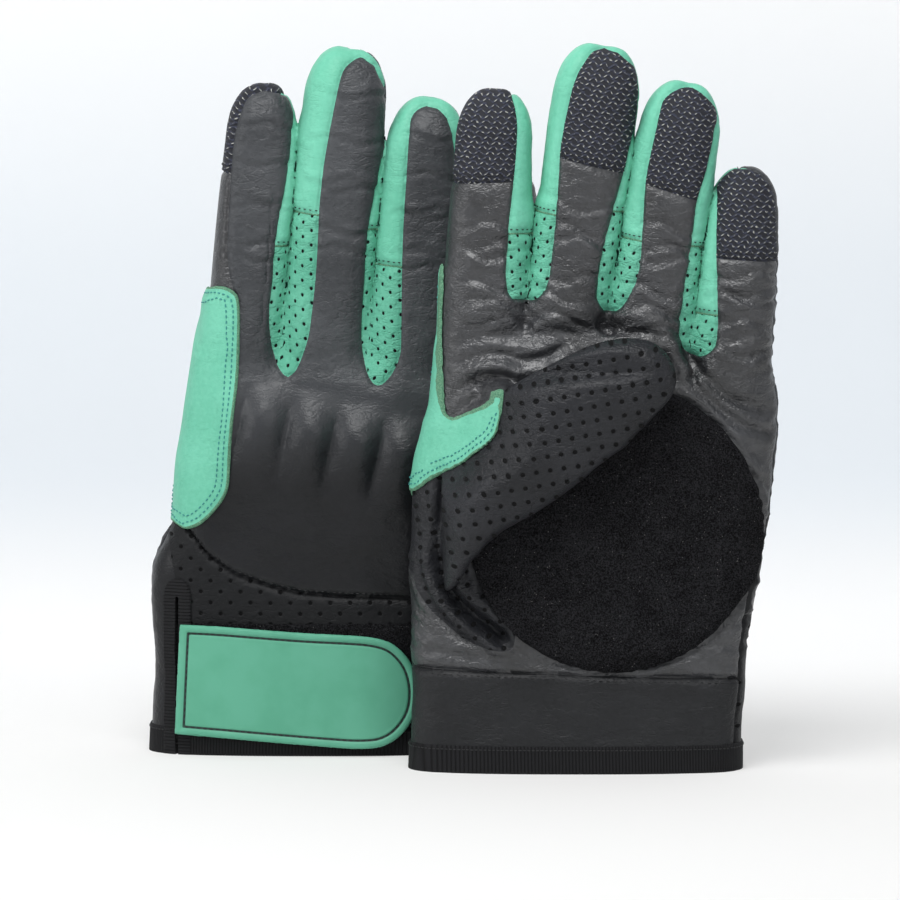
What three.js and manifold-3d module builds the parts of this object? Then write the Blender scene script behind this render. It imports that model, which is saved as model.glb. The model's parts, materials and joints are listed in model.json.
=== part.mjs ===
// A pair of longboard slide gloves, standing on their hems with the fingers up.
// The right-hand glove shows its back and the left-hand glove, a step in front, shows its palm.
//
// Millimetres. In the finished pair X runs to the right, Y away from the viewer and Z up.
// Each glove is drawn in a frame of its own: x from the thumb side to the little finger,
// y from the palm (negative) to the back of the hand (positive), z from the hem to the fingertips.

import * as THREE from 'three';
import { mergeVertices } from 'three/addons/utils/BufferGeometryUtils.js';
import Module from 'manifold-3d';

const wasm = await Module();
wasm.setup();

// Leather and fit
const WALL = 1.6;               // leather with its lining
const SEAM = 0.3;               // clearance between pieces that are sewn to each other
const SQUARENESS = 2.8;         // exponent of the superelliptic cross-sections
const OVERRUN = 6;              // how far a cutter runs past what it cuts

// Hand
const HAND_LENGTH = 168;        // hem to the top of the knuckle block
const HAND_WIDTH = 124;         // across the flat palm
const HAND_DEPTH = 34;          // palm to back at the heel of the hand
const CUFF_SEAM_HEIGHT = 34;    // top of the palm side's cuff band
const CUFF_SEAM_FALL = 4;       // the band is lower at the little finger
const BACK_SEAM_HEIGHT = 56;    // top of the perforated cuff on the back
const BACK_SEAM_RISE = 24;      // how far that seam climbs at the thumb side
const BACK_SEAM_FALL = 3.6;     // how far it falls at the little finger
const BACK_SEAM_TURN_X = -3.6;  // where the climb begins
const SIDE_SEAM_DEPTH = 4;      // the side seam lies this far in front of the middle

// Hem and slit, bound with ribbed tape
const HEM_HEIGHT = 9.5;
const TAPE_RAISE = 0.5;
const SLIT_INSET = 16;          // from the flat palm's thumb edge
const SLIT_WIDTH = 2.4;
const SLIT_HEIGHT = 55;
const SLIT_TAPE = 3.6;          // width of the tape on each side of the slit

// Fingers
const FINGER_LENGTH = 92.5;     // the longest finger, from its crease
const FINGER_WIDTH = 30;        // the widest finger
const FINGER_DEPTH = 26;
const KNUCKLE_DROP = 27;        // the knuckle on the back lies lower than the crease
const STRIP_WIDTH = 11;         // coloured side strip
const TIP_RADIUS = 11;
const FINGER_CLEAR = 3.25;      // room beside each finger above the parting line

// Webs between the fingers
const WEB_WIDTH = 13;
const WEB_THICKNESS = 1.8;

// Knuckle guard under the back leather
const GUARD_THICKNESS = 1.8;
const GUARD_LENGTH = 68;
const GUARD_HEIGHT = 24;
const GUARD_X = 8.5;
const GUARD_DROP = 55;          // middle of the guard to the top of the knuckle block
const GUARD_Z = HAND_LENGTH - GUARD_DROP;
const GUARD_TILT = 12;          // degrees
const BUMP_PITCH = 16.5;
const BUMP_WIDTH = 16;
const BUMP_HEIGHT = 21;
const BUMP_RISE = 3.5;

// Round loop patch that the slide puck holds on to
const PUCK_DIAMETER = 100;
const PUCK_THICKNESS = 2.4;
const PUCK_X = 12.5;
const PUCK_Z = 85;

// Thumb-side patch
const PATCH_THICKNESS = 1.4;
const PATCH_LAP = 6.4;          // the back leather reaches this far under it

// Thumb
const THUMB_LENGTH = 78;        // fold line to tip, measured across the palm
const THUMB_WIDTH = 43;
const THUMB_DEPTH = 21;
const THUMB_FOLD_INSET = 16;    // fold line to the flat palm's thumb edge
const THUMB_ROOT_Z = 88;
const THUMB_LIFT = 8.8;         // middle of the thumb in front of the palm
const THUMB_HOLE_WIDTH = 6.4;   // the thumb enters its sleeve through a flattened hole beside the puck patch
const THUMB_HOLE_HEIGHT = 34;
const THUMB_HOLE_INSET = 5.6;   // fold line to the middle of the hole

// Wrist strap
const STRAP_LENGTH = 82;
const STRAP_HEIGHT = 38;
const STRAP_THICKNESS = 2.6;
const STRAP_CORNER = 17;
const STRAP_Z = 26;             // middle of its root
const STRAP_TILT = 4;           // degrees, falling towards the free end
const HOOK_THICKNESS = 1;
const HOOK_MARGIN = 4;          // hook tape to the strap's edge

// Fold lines and how far the pieces open, in degrees
const FINGER_CURL = 70;
const THUMB_SWING = 100;
const THUMB_PIVOT_DEPTH = 14;
const STRAP_PIVOT_DEPTH = 16;

// How the pair stands
const PAIR_SPREAD = 92;         // between the middles of the two cuffs
const PAIR_DEPTH = 42;          // left-hand glove in front of the right-hand one

// Fineness of the faceted shapes
const HAND_FACETS = 24;
const FINGER_FACETS = 12;
const TIP_RINGS = 3;
const BUMP_SIDES = 8;
const BUMP_RINGS = 5;
const ARC_STEPS = 5;
const ROUND_STEPS = 14;

const black = new THREE.MeshStandardMaterial({ color: 0x2c2e31, roughness: 0.5, metalness: 0 });
const perforated = new THREE.MeshStandardMaterial({ color: 0x26282b, roughness: 0.55, metalness: 0 });
const mint = new THREE.MeshStandardMaterial({ color: 0x80d1b7, roughness: 0.6, metalness: 0 });
const rubber = new THREE.MeshStandardMaterial({ color: 0x6cb49a, roughness: 0.55, metalness: 0 });
const aramid = new THREE.MeshStandardMaterial({ color: 0x3a424f, roughness: 0.8, metalness: 0 });
const pile = new THREE.MeshStandardMaterial({ color: 0x19191c, roughness: 0.95, metalness: 0 });
const tape = new THREE.MeshStandardMaterial({ color: 0x27272a, roughness: 0.8, metalness: 0 });
const shell = new THREE.MeshStandardMaterial({ color: 0x1f2124, roughness: 0.4, metalness: 0 });

// Outline of the hand from the hem up: shares of the length, of half the width and of half the depth
const handHeightShares = [0, 0.21, 0.34, 0.46, 0.58, 0.70, 0.82, 1];
const handDepthShares = [1.06, 1, 0.97, 1, 1, 0.94, 0.85, 0.8];

// Fingers from the crease up: shares of the length, of the way from root width to full width and of the depth
const fingerLengthShares = [0, 0.36, 0.62];
const fingerSwellShares = [0, 0.2, 1];
const fingerDepthShares = [1, 0.95, 0.93];
const knuckleWidthShare = 0.82;
const tipWidthShare = 0.95;
const tipDepthShare = 0.87;
const tipTurnShare = 0.88;      // of the quarter turn from the finger's side to its very end
const tipFlatShare = 0.33;      // of the width that the rounding leaves alone
const tipBluntShare = 0.2;      // exponent that keeps the end blunt

// Middles of the knuckle bumps as shares of their pitch, and where the back seam bends
// as a share of the way to the slit
const bumpPlaceShares = [-1.5, -0.5, 0.5, 1.5];
const seamBendShare = 0.67;

// Thumb from the fold to the tip: shares of its length along x, of its width for the rise
// and for the breadth, of its depth, and the lean of each section in degrees
const thumbStations = [
  { runShare: 0, riseShare: 0, widthShare: 1.18, depthShare: 0.62, lean: 4 },
  { runShare: 0.11, riseShare: 0.13, widthShare: 1.14, depthShare: 0.84, lean: 10 },
  { runShare: 0.34, riseShare: 0.53, widthShare: 0.98, depthShare: 1, lean: 22 },
  { runShare: 0.57, riseShare: 0.85, widthShare: 0.86, depthShare: 1, lean: 31 },
  { runShare: 0.77, riseShare: 1.12, widthShare: 0.74, depthShare: 0.94, lean: 35 },
  { runShare: 0.89, riseShare: 1.26, widthShare: 0.57, depthShare: 0.78, lean: 36 },
  { runShare: 0.97, riseShare: 1.34, widthShare: 0.31, depthShare: 0.5, lean: 36 },
];

// Outlines of the thumb-side patch, from the hand's middle: shares of half its width and of its length
const patchBackShares = [
  [-1.1, 0.48], [-0.77, 0.477], [-0.69, 0.466], [-0.6, 0.48], [-0.5, 0.52], [-0.45, 0.56],
  [-0.43, 0.66], [-0.4, 0.78], [-0.39, 0.9], [-0.4, 0.955], [-0.5, 0.968], [-0.58, 0.95], [-1.1, 0.95],
];
const patchPalmShares = [
  [-1.1, 0.55], [-0.92, 0.569], [-0.79, 0.604], [-0.62, 0.64], [-0.46, 0.69], [-0.41, 0.788],
  [-0.475, 0.788], [-0.5, 0.755], [-0.66, 0.73], [-0.72, 0.75], [-0.69, 0.95], [-1.1, 0.95],
];

// The two gloves, with shares of half the hand's width for the two edges, one for each height share,
// and for how far the thumb, the puck patch and the palm side of the thumb-side patch sit towards
// the little finger. Each finger leans by degrees and has shares of half the hand's width and
// of its length for its place, of the longest and widest finger for its length, width and
// root, and of its own length for where the tip pad starts.
const gloves = [
  {
    name: 'right',
    backSign: -1,
    strapPeel: 120,
    palmShiftShare: 0.097,
    thumbEdgeShares: [-0.92, -0.9, -0.91, -0.81, -0.78, -0.72, -0.67, -0.57],
    pinkyEdgeShares: [0.9, 0.91, 0.95, 1.02, 1.08, 1.15, 1.2, 1.24],
    fingers: [
      { name: 'index', xShare: -0.347, creaseShare: 0.94, lean: 5, lengthShare: 0.811,
        widthShare: 0.9, rootShare: 0.9, padShare: 0.587 },
      { name: 'middle', xShare: 0.126, creaseShare: 0.946, lean: 5.5, lengthShare: 0.93,
        widthShare: 0.983, rootShare: 0.9, padShare: 0.57 },
      { name: 'ring', xShare: 0.613, creaseShare: 0.923, lean: 4, lengthShare: 0.789,
        widthShare: 0.883, rootShare: 0.85, padShare: 0.548 },
      { name: 'little', xShare: 1.04, creaseShare: 0.875, lean: 3.5, lengthShare: 0.627,
        widthShare: 0.8, rootShare: 0.833, padShare: 0.483 },
    ],
  },
  {
    name: 'left',
    backSign: 1,
    strapPeel: 22,
    palmShiftShare: 0,
    thumbEdgeShares: [-0.9, -0.92, -0.93, -0.92, -0.92, -0.84, -0.76, -0.72],
    pinkyEdgeShares: [0.9, 0.92, 0.95, 1, 1.07, 1.11, 1.1, 1.08],
    fingers: [
      { name: 'index', xShare: -0.516, creaseShare: 0.94, lean: 3, lengthShare: 0.849,
        widthShare: 0.9, rootShare: 0.95, padShare: 0.599 },
      { name: 'middle', xShare: -0.061, creaseShare: 0.946, lean: 8.5, lengthShare: 1,
        widthShare: 1, rootShare: 0.867, padShare: 0.562 },
      { name: 'ring', xShare: 0.411, creaseShare: 0.923, lean: 8.5, lengthShare: 0.908,
        widthShare: 0.917, rootShare: 0.85, padShare: 0.536 },
      { name: 'little', xShare: 0.876, creaseShare: 0.875, lean: 4, lengthShare: 0.681,
        widthShare: 0.817, rootShare: 0.867, padShare: 0.476 },
    ],
  },
];

const radians = THREE.MathUtils.degToRad;
const halfHand = HAND_WIDTH / 2;
const slitX = SLIT_INSET - halfHand;
const thumbFoldX = THUMB_FOLD_INSET - halfHand;
const pivotDepth = HAND_DEPTH / 2 * handDepthShares.at(-1) + WALL / 2;
const farHeight = 2 * HAND_LENGTH;
const farDepth = 2 * HAND_DEPTH;

// The gloves with their shares worked out
const measuredGloves = gloves.map((glove) => ({
  ...glove,
  palmShift: glove.palmShiftShare * halfHand,
  fingers: glove.fingers.map((finger) => {
    const length = finger.lengthShare * FINGER_LENGTH;
    return {
      name: finger.name,
      lean: finger.lean,
      x: finger.xShare * halfHand,
      crease: finger.creaseShare * HAND_LENGTH,
      length,
      width: finger.widthShare * FINGER_WIDTH,
      root: finger.rootShare * FINGER_WIDTH,
      padFrom: finger.padShare * length,
    };
  }),
}));

// A closed triangle mesh as a solid that can be joined and cut
function solidOf(positions, triangles) {
  return new wasm.Manifold(new wasm.Mesh({
    numProp: 3,
    vertProperties: new Float32Array(positions),
    triVerts: new Uint32Array(triangles),
  }));
}

// A three.js geometry as a solid
function solidOfGeometry(geometry) {
  geometry.deleteAttribute('normal');
  geometry.deleteAttribute('uv');
  const merged = mergeVertices(geometry);
  return solidOf(merged.attributes.position.array, merged.index.array);
}

// A skin over a row of closed rings, with a flat cap on each end
function loft(rings) {
  const count = rings[0].length;
  const points = rings.flat();
  const triangles = [];
  for (let ring = 0; ring < rings.length - 1; ring += 1) {
    for (let k = 0; k < count; k += 1) {
      const a = ring * count + k;
      const b = ring * count + (k + 1) % count;
      triangles.push(a, b, b + count, a, b + count, a + count);
    }
  }
  const last = (rings.length - 1) * count;
  for (let k = 1; k < count - 1; k += 1) {
    triangles.push(0, k + 1, k, last, last + k, last + k + 1);
  }
  return solidOf(points.flatMap((point) => point.toArray()), triangles);
}

// A superelliptic ring in the xy plane
function ring(halfWidth, halfDepth, facets) {
  const power = 2 / SQUARENESS;
  return Array.from({ length: facets }, (_, k) => {
    const turn = (k + 0.5) / facets * 2 * Math.PI;
    const across = Math.sign(Math.cos(turn)) * Math.abs(Math.cos(turn)) ** power;
    const through = Math.sign(Math.sin(turn)) * Math.abs(Math.sin(turn)) ** power;
    return new THREE.Vector3(halfWidth * across, halfDepth * through, 0);
  });
}

// A front-view outline, given as a Shape in x and z, run through the depths from near to far
function throughDepth(outline, near, far, curveSegments = ARC_STEPS) {
  const options = { depth: far - near, bevelEnabled: false, curveSegments };
  const geometry = new THREE.ExtrudeGeometry(outline, options);
  return solidOfGeometry(geometry.rotateX(Math.PI / 2).translate(0, far, 0));
}

// A side-view outline, given as a Shape in y and z, run across from left to right
function across(outline, left, right) {
  const options = { depth: right - left, bevelEnabled: false, curveSegments: ARC_STEPS };
  const turn = new THREE.Matrix4().makeBasis(
    new THREE.Vector3(0, 1, 0), new THREE.Vector3(0, 0, 1), new THREE.Vector3(1, 0, 0));
  const geometry = new THREE.ExtrudeGeometry(outline, options);
  return solidOfGeometry(geometry.applyMatrix4(turn).translate(left, 0, 0));
}

function polygon(points) {
  return new THREE.Shape(points.map(([x, y]) => new THREE.Vector2(x, y)));
}

function box(low, high) {
  const size = new THREE.Vector3().subVectors(high, low);
  const middle = new THREE.Vector3().addVectors(low, high).multiplyScalar(0.5);
  return solidOfGeometry(new THREE.BoxGeometry(size.x, size.y, size.z).translate(...middle.toArray()));
}

// A rounded end to the right and square corners to the left, as the strap and its hook tape have
function strapOutline(margin) {
  const left = margin;
  const right = STRAP_LENGTH - margin;
  const half = STRAP_HEIGHT / 2 - margin;
  const corner = STRAP_CORNER - margin;
  const shape = new THREE.Shape();
  shape.moveTo(left, -half);
  shape.lineTo(right - corner, -half);
  shape.absarc(right - corner, corner - half, corner, -Math.PI / 2, 0);
  shape.absarc(right - corner, half - corner, corner, 0, Math.PI / 2);
  shape.lineTo(left, half);
  return shape;
}

// An upright slot with a round top, from below the hem
function slotOutline(halfWidth, height) {
  const shape = new THREE.Shape();
  shape.moveTo(slitX - halfWidth, -OVERRUN);
  shape.lineTo(slitX + halfWidth, -OVERRUN);
  shape.absarc(slitX, height, halfWidth, 0, Math.PI);
  return shape;
}

function capsuleOutline(length, height) {
  const radius = height / 2;
  const reach = length / 2 - radius;
  const shape = new THREE.Shape();
  shape.absarc(reach, 0, radius, -Math.PI / 2, Math.PI / 2);
  shape.absarc(-reach, 0, radius, Math.PI / 2, Math.PI * 1.5);
  return shape;
}

function ellipseOutline(x, z, width, height) {
  return new THREE.Shape().absellipse(x, z, width / 2, height / 2, 0, 2 * Math.PI);
}

function mesh(solid, name, material) {
  const { vertProperties, triVerts } = solid.getMesh();
  const geometry = new THREE.BufferGeometry();
  geometry.setAttribute('position', new THREE.BufferAttribute(new Float32Array(vertProperties), 3));
  geometry.setIndex(new THREE.BufferAttribute(new Uint32Array(triVerts), 1));
  const piece = new THREE.Mesh(geometry, material);
  piece.name = name;
  return piece;
}

// Turns the mesh of a piece over for the glove whose back faces the viewer
function facing(piece, backSign) {
  if (backSign > 0) return piece;
  const { position } = piece.geometry.attributes;
  for (let k = 0; k < position.count; k += 1) position.setY(k, -position.getY(k));
  const corners = piece.geometry.index.array;
  for (let k = 0; k < corners.length; k += 3) [corners[k], corners[k + 1]] = [corners[k + 1], corners[k]];
  return piece;
}

// The glove's hand as a full solid, every face moved out by an offset
function handSolid(glove, offset) {
  const bottom = offset < 0 ? -OVERRUN : 0;
  const rings = handHeightShares.map((share, k) => {
    const left = glove.thumbEdgeShares[k] * halfHand - offset;
    const right = glove.pinkyEdgeShares[k] * halfHand + offset;
    const depth = handDepthShares[k] * HAND_DEPTH / 2 + offset;
    const height = k === 0 ? bottom : share * HAND_LENGTH;
    return ring((right - left) / 2, depth, HAND_FACETS)
      .map((point) => point.add(new THREE.Vector3((left + right) / 2, 0, height)));
  });
  return knucklePlaces().reduce((hand, place) => hand.add(bump(place, offset)), loft(rings));
}

// Middles of the four bumps of the knuckle guard
function knucklePlaces() {
  return bumpPlaceShares.map((share) => new THREE.Vector2(share * BUMP_PITCH, 0)
    .rotateAround(new THREE.Vector2(), -radians(GUARD_TILT)).add(new THREE.Vector2(GUARD_X, GUARD_Z)));
}

// Depth of the back of the hand at the height of the knuckle guard
function guardDepth() {
  const above = handHeightShares.findIndex((share) => share * HAND_LENGTH > GUARD_Z);
  const [low, high] = [handHeightShares[above - 1], handHeightShares[above]];
  const share = (GUARD_Z / HAND_LENGTH - low) / (high - low);
  return HAND_DEPTH / 2 * THREE.MathUtils.lerp(handDepthShares[above - 1], handDepthShares[above], share);
}

function bump(place, offset) {
  const dome = new THREE.SphereGeometry(1, BUMP_SIDES, BUMP_RINGS);
  dome.scale(BUMP_WIDTH / 2 + offset, BUMP_WIDTH / 2 + offset, BUMP_HEIGHT / 2 + offset);
  return solidOfGeometry(dome.translate(place.x, guardDepth() + BUMP_RISE - BUMP_WIDTH / 2, place.y));
}

// A layer of the hand's surface, from one offset out to another
function handLayer(glove, inner, outer) {
  return handSolid(glove, outer).subtract(handSolid(glove, inner));
}

// Matrix of a finger's own frame: its origin at the height of the crease, its z along the finger
function fingerFrame(finger) {
  return new THREE.Matrix4().makeRotationY(radians(finger.lean)).setPosition(finger.x, 0, finger.crease);
}

function place(solid, matrix) {
  return solid.transform(matrix.elements);
}

// Height in a finger's frame of the face that parts it from the hand, at a depth
function partingHeight(depth, lift) {
  return lift - KNUCKLE_DROP * (depth + pivotDepth) / (2 * pivotDepth);
}

// All that lies above that face, between two widths from the finger's middle
function fingerSpace(finger, lift, left, right) {
  const outline = polygon([
    [-farDepth, partingHeight(-farDepth, lift)], [farDepth, partingHeight(farDepth, lift)],
    [farDepth, farHeight], [-farDepth, farHeight],
  ]);
  return place(across(outline, left, right), fingerFrame(finger));
}

// A finger as a full solid, every face moved out by an offset
function fingerSolid(finger, offset) {
  const rings = [];
  const addRing = (height, width, depth) => {
    const flat = ring(width / 2 + offset, depth / 2 + offset, FINGER_FACETS);
    rings.push(flat.map((point) => point.setZ(height)));
  };
  addRing(-KNUCKLE_DROP - OVERRUN, knuckleWidthShare * finger.root, FINGER_DEPTH);
  fingerLengthShares.forEach((share, k) => {
    const width = THREE.MathUtils.lerp(finger.root, finger.width, fingerSwellShares[k]);
    addRing(share * finger.length, width, fingerDepthShares[k] * FINGER_DEPTH);
  });
  const shoulder = finger.length - TIP_RADIUS;
  const lastTurn = tipTurnShare * Math.PI / 2;
  for (let step = 0; step <= TIP_RINGS; step += 1) {
    const turn = step / TIP_RINGS * lastTurn;
    const rise = Math.sin(turn) / Math.sin(lastTurn);
    const taper = THREE.MathUtils.lerp(Math.cos(turn), 1, tipFlatShare) * Math.cos(turn) ** tipBluntShare;
    addRing(shoulder + rise * (TIP_RADIUS + offset), tipWidthShare * taper * finger.width,
      tipDepthShare * taper * FINGER_DEPTH);
  }
  return place(loft(rings), fingerFrame(finger));
}

// The four leather and fabric pieces of a finger
function fingerPieces(glove, finger, position) {
  const sleeve = fingerSolid(finger, 0).subtract(fingerSolid(finger, -WALL))
    .intersect(fingerSpace(finger, SEAM / 2, -halfHand, halfHand));
  const frame = fingerFrame(finger);
  const slab = (left, right, near, far, from) => place(
    box(new THREE.Vector3(left, near, from), new THREE.Vector3(right, far, farHeight)), frame);
  const isFirst = position === 0;
  const isLast = position === glove.fingers.length - 1;
  const below = -KNUCKLE_DROP - 2 * OVERRUN;
  const stripLeft = isFirst ? 0 : -halfHand;
  const stripRight = isLast ? 0 : halfHand;
  const halfStrip = STRIP_WIDTH / 2;
  const strip = slab(stripLeft, stripRight, -halfStrip, halfStrip, below);
  const stripRoom = slab(stripLeft - SEAM, stripRight + SEAM, -halfStrip - SEAM, halfStrip + SEAM, below);
  const leather = sleeve.subtract(stripRoom);
  const back = leather.intersect(slab(-halfHand, halfHand, SEAM / 2, farDepth, below));
  const front = leather.intersect(slab(-halfHand, halfHand, -farDepth, -SEAM / 2, below));
  const padRoom = slab(-halfHand, halfHand, -farDepth, farDepth, finger.padFrom - SEAM);
  const pad = slab(-halfHand, halfHand, -farDepth, farDepth, finger.padFrom);
  const title = `${glove.name}_${finger.name}`;
  return [
    mesh(back, `${title}_back`, black),
    mesh(front.subtract(padRoom), `${title}_palm`, black),
    mesh(front.intersect(pad), `${title}_tip_pad`, aramid),
    mesh(sleeve.intersect(strip), `${title}_side_strip`, mint),
  ];
}

// Room above the crease and the knuckles that belongs to the fingers
function roomForFingers(glove, lift) {
  const { fingers } = glove;
  const spaces = fingers.map((finger, k) => {
    const before = k > 0 ? (finger.x - fingers[k - 1].x) / 2 + FINGER_CLEAR : halfHand;
    const after = k < fingers.length - 1 ? (fingers[k + 1].x - finger.x) / 2 + FINGER_CLEAR : halfHand;
    return fingerSpace(finger, lift, -before, after);
  });
  return spaces.reduce((room, space) => room.add(space));
}

// The strip of leather that closes the hand between two fingers
function web(glove, position) {
  const [thumbSide, pinkySide] = glove.fingers.slice(position, position + 2);
  const middle = (thumbSide.x + pinkySide.x) / 2;
  const lower = thumbSide.crease < pinkySide.crease ? thumbSide : pinkySide;
  const top = -2 * SEAM;
  const bottom = top - WEB_THICKNESS;
  const section = (x, finger) => {
    const height = finger.crease - Math.sin(radians(finger.lean)) * (x - finger.x);
    const corner = (depth, lift) => new THREE.Vector3(x, depth, height + partingHeight(depth, lift));
    return [
      corner(-HAND_DEPTH, bottom), corner(HAND_DEPTH, bottom),
      corner(HAND_DEPTH, top), corner(-HAND_DEPTH, top),
    ];
  };
  const half = WEB_WIDTH / 2;
  const strip = loft([
    section(middle - half, thumbSide), section(middle, lower), section(middle + half, pinkySide),
  ]);
  return strip.intersect(handSolid(glove, -WALL - SEAM));
}

// Everything on the back of the hand, to the right of the slit and of the thumb-side seam,
// which runs under the patch from its foot past its heel and up beside its waist
function backRegion(grow) {
  const [patchFoot, patchHeel, patchWaist] = [2, 3, 5].map((k) => patchBackShares[k]);
  const waistX = patchWaist[0] * halfHand - PATCH_LAP - grow;
  const outline = polygon([
    [slitX - grow, -OVERRUN], [slitX - grow, SLIT_HEIGHT],
    [patchFoot[0] * halfHand - grow, patchHeel[1] * HAND_LENGTH],
    [waistX, patchWaist[1] * HAND_LENGTH], [waistX, HAND_LENGTH + OVERRUN],
    [HAND_WIDTH, HAND_LENGTH + OVERRUN], [HAND_WIDTH, -OVERRUN],
  ]);
  return throughDepth(outline, 0, farDepth);
}

function pinkySide(grow) {
  return box(
    new THREE.Vector3(0, -SIDE_SEAM_DEPTH - grow, -OVERRUN),
    new THREE.Vector3(HAND_WIDTH, OVERRUN, HAND_LENGTH + OVERRUN));
}

// Above the seam between the perforated cuff and the back leather
function aboveBackSeam(lift) {
  const shape = new THREE.Shape();
  const low = BACK_SEAM_HEIGHT + lift;
  shape.moveTo(HAND_WIDTH, HAND_LENGTH + OVERRUN);
  shape.lineTo(-HAND_WIDTH, HAND_LENGTH + OVERRUN);
  shape.lineTo(-HAND_WIDTH, low + BACK_SEAM_RISE);
  shape.lineTo(slitX + SLIT_TAPE, low + BACK_SEAM_RISE);
  shape.quadraticCurveTo(slitX * seamBendShare, low + BACK_SEAM_FALL, BACK_SEAM_TURN_X, low);
  shape.lineTo(HAND_WIDTH, low - BACK_SEAM_FALL);
  return throughDepth(shape, -farDepth, farDepth);
}

// Above the seam between the palm and its cuff band
function abovePalmSeam(lift) {
  const outline = polygon([
    [-HAND_WIDTH, CUFF_SEAM_HEIGHT + CUFF_SEAM_FALL + lift],
    [HAND_WIDTH, CUFF_SEAM_HEIGHT - CUFF_SEAM_FALL + lift],
    [HAND_WIDTH, HAND_LENGTH + OVERRUN], [-HAND_WIDTH, HAND_LENGTH + OVERRUN],
  ]);
  return throughDepth(outline, -farDepth, farDepth);
}

// Outline of the thumb-side patch as a soft curve through its points
function patchOutline(shares, shift, grow = 0) {
  const move = shift + grow;
  const points = shares.map(([x, z]) => new THREE.Vector2(x * halfHand + move, z * HAND_LENGTH - grow));
  const shape = new THREE.Shape();
  shape.moveTo(points[0].x, points[0].y);
  shape.splineThru(points.slice(1, -1));
  shape.lineTo(points.at(-1).x, points.at(-1).y);
  return shape;
}

function patch(glove, room) {
  const layer = handLayer(glove, SEAM, SEAM + PATCH_THICKNESS);
  const onBack = throughDepth(patchOutline(patchBackShares, 0), 0, farDepth, 1);
  const onPalm = throughDepth(patchOutline(patchPalmShares, glove.palmShift), -farDepth, SEAM, 1);
  return layer.intersect(onBack.add(onPalm)).subtract(room);
}

// The thumb as a full solid, every face moved out by an offset
function thumbSolid(glove, offset) {
  const rings = thumbStations.map((station, k) => {
    const halfWidth = station.widthShare * THUMB_WIDTH / 2 + offset;
    const halfDepth = station.depthShare * THUMB_DEPTH / 2 + offset;
    const isRoot = k === 0;
    const isTip = k === thumbStations.length - 1;
    const run = station.runShare * THUMB_LENGTH + (isTip ? offset : 0) - (isRoot ? offset : 0);
    const turn = new THREE.Matrix4()
      .makeRotationY(Math.PI / 2 - radians(station.lean))
      .setPosition(
        thumbFoldX + glove.palmShift + run, -HAND_DEPTH / 2 - THUMB_LIFT,
        THUMB_ROOT_Z + station.riseShare * THUMB_WIDTH);
    return ring(halfWidth, halfDepth, FINGER_FACETS).map((point) => point.applyMatrix4(turn));
  });
  return loft(rings);
}

function thumbHole(glove) {
  const x = thumbFoldX + glove.palmShift + THUMB_HOLE_INSET;
  const outline = ellipseOutline(x, THUMB_ROOT_Z, THUMB_HOLE_WIDTH, THUMB_HOLE_HEIGHT);
  return throughDepth(outline, -HAND_DEPTH / 2 - THUMB_LIFT, 0);
}

// The thumb sleeve lies on the palm and on the puck patch, and starts below the thumb-side patch
function thumb(glove) {
  const rest = handSolid(glove, 2 * SEAM + PUCK_THICKNESS);
  const liningRest = handSolid(glove, 2 * SEAM + PUCK_THICKNESS + WALL);
  const underPatch = (grow) => throughDepth(
    patchOutline(patchPalmShares, glove.palmShift, grow), -farDepth - HAND_DEPTH, 0, 1);
  const outside = thumbSolid(glove, 0).subtract(rest).subtract(underPatch(SEAM));
  const inside = thumbSolid(glove, -WALL).subtract(liningRest).subtract(underPatch(WALL));
  return outside.subtract(inside).subtract(thumbHole(glove));
}

function strapRegion(margin) {
  const slope = new THREE.Matrix4().makeRotationY(radians(STRAP_TILT)).setPosition(slitX, 0, STRAP_Z);
  return place(throughDepth(strapOutline(margin), 0, farDepth), slope);
}

// Where the glove folds: a point on each fold line, its direction and how far it opens in degrees
function foldLines(glove) {
  const fingers = glove.fingers.map((finger) => ({
    name: `${glove.name}_${finger.name}`,
    point: new THREE.Vector3(finger.x, -pivotDepth, finger.crease),
    axis: new THREE.Vector3(1, 0, 0).applyAxisAngle(new THREE.Vector3(0, 1, 0), radians(finger.lean)),
    opens: FINGER_CURL,
  }));
  const thumbFold = {
    name: `${glove.name}_thumb`,
    point: new THREE.Vector3(thumbFoldX + glove.palmShift, -THUMB_PIVOT_DEPTH, THUMB_ROOT_Z),
    axis: new THREE.Vector3(0, 0, -1),
    opens: THUMB_SWING,
  };
  const strapFold = {
    name: `${glove.name}_strap`,
    point: new THREE.Vector3(slitX, STRAP_PIVOT_DEPTH, STRAP_Z),
    axis: new THREE.Vector3(0, 0, 1),
    opens: glove.strapPeel,
  };
  return [...fingers, thumbFold, strapFold];
}

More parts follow.
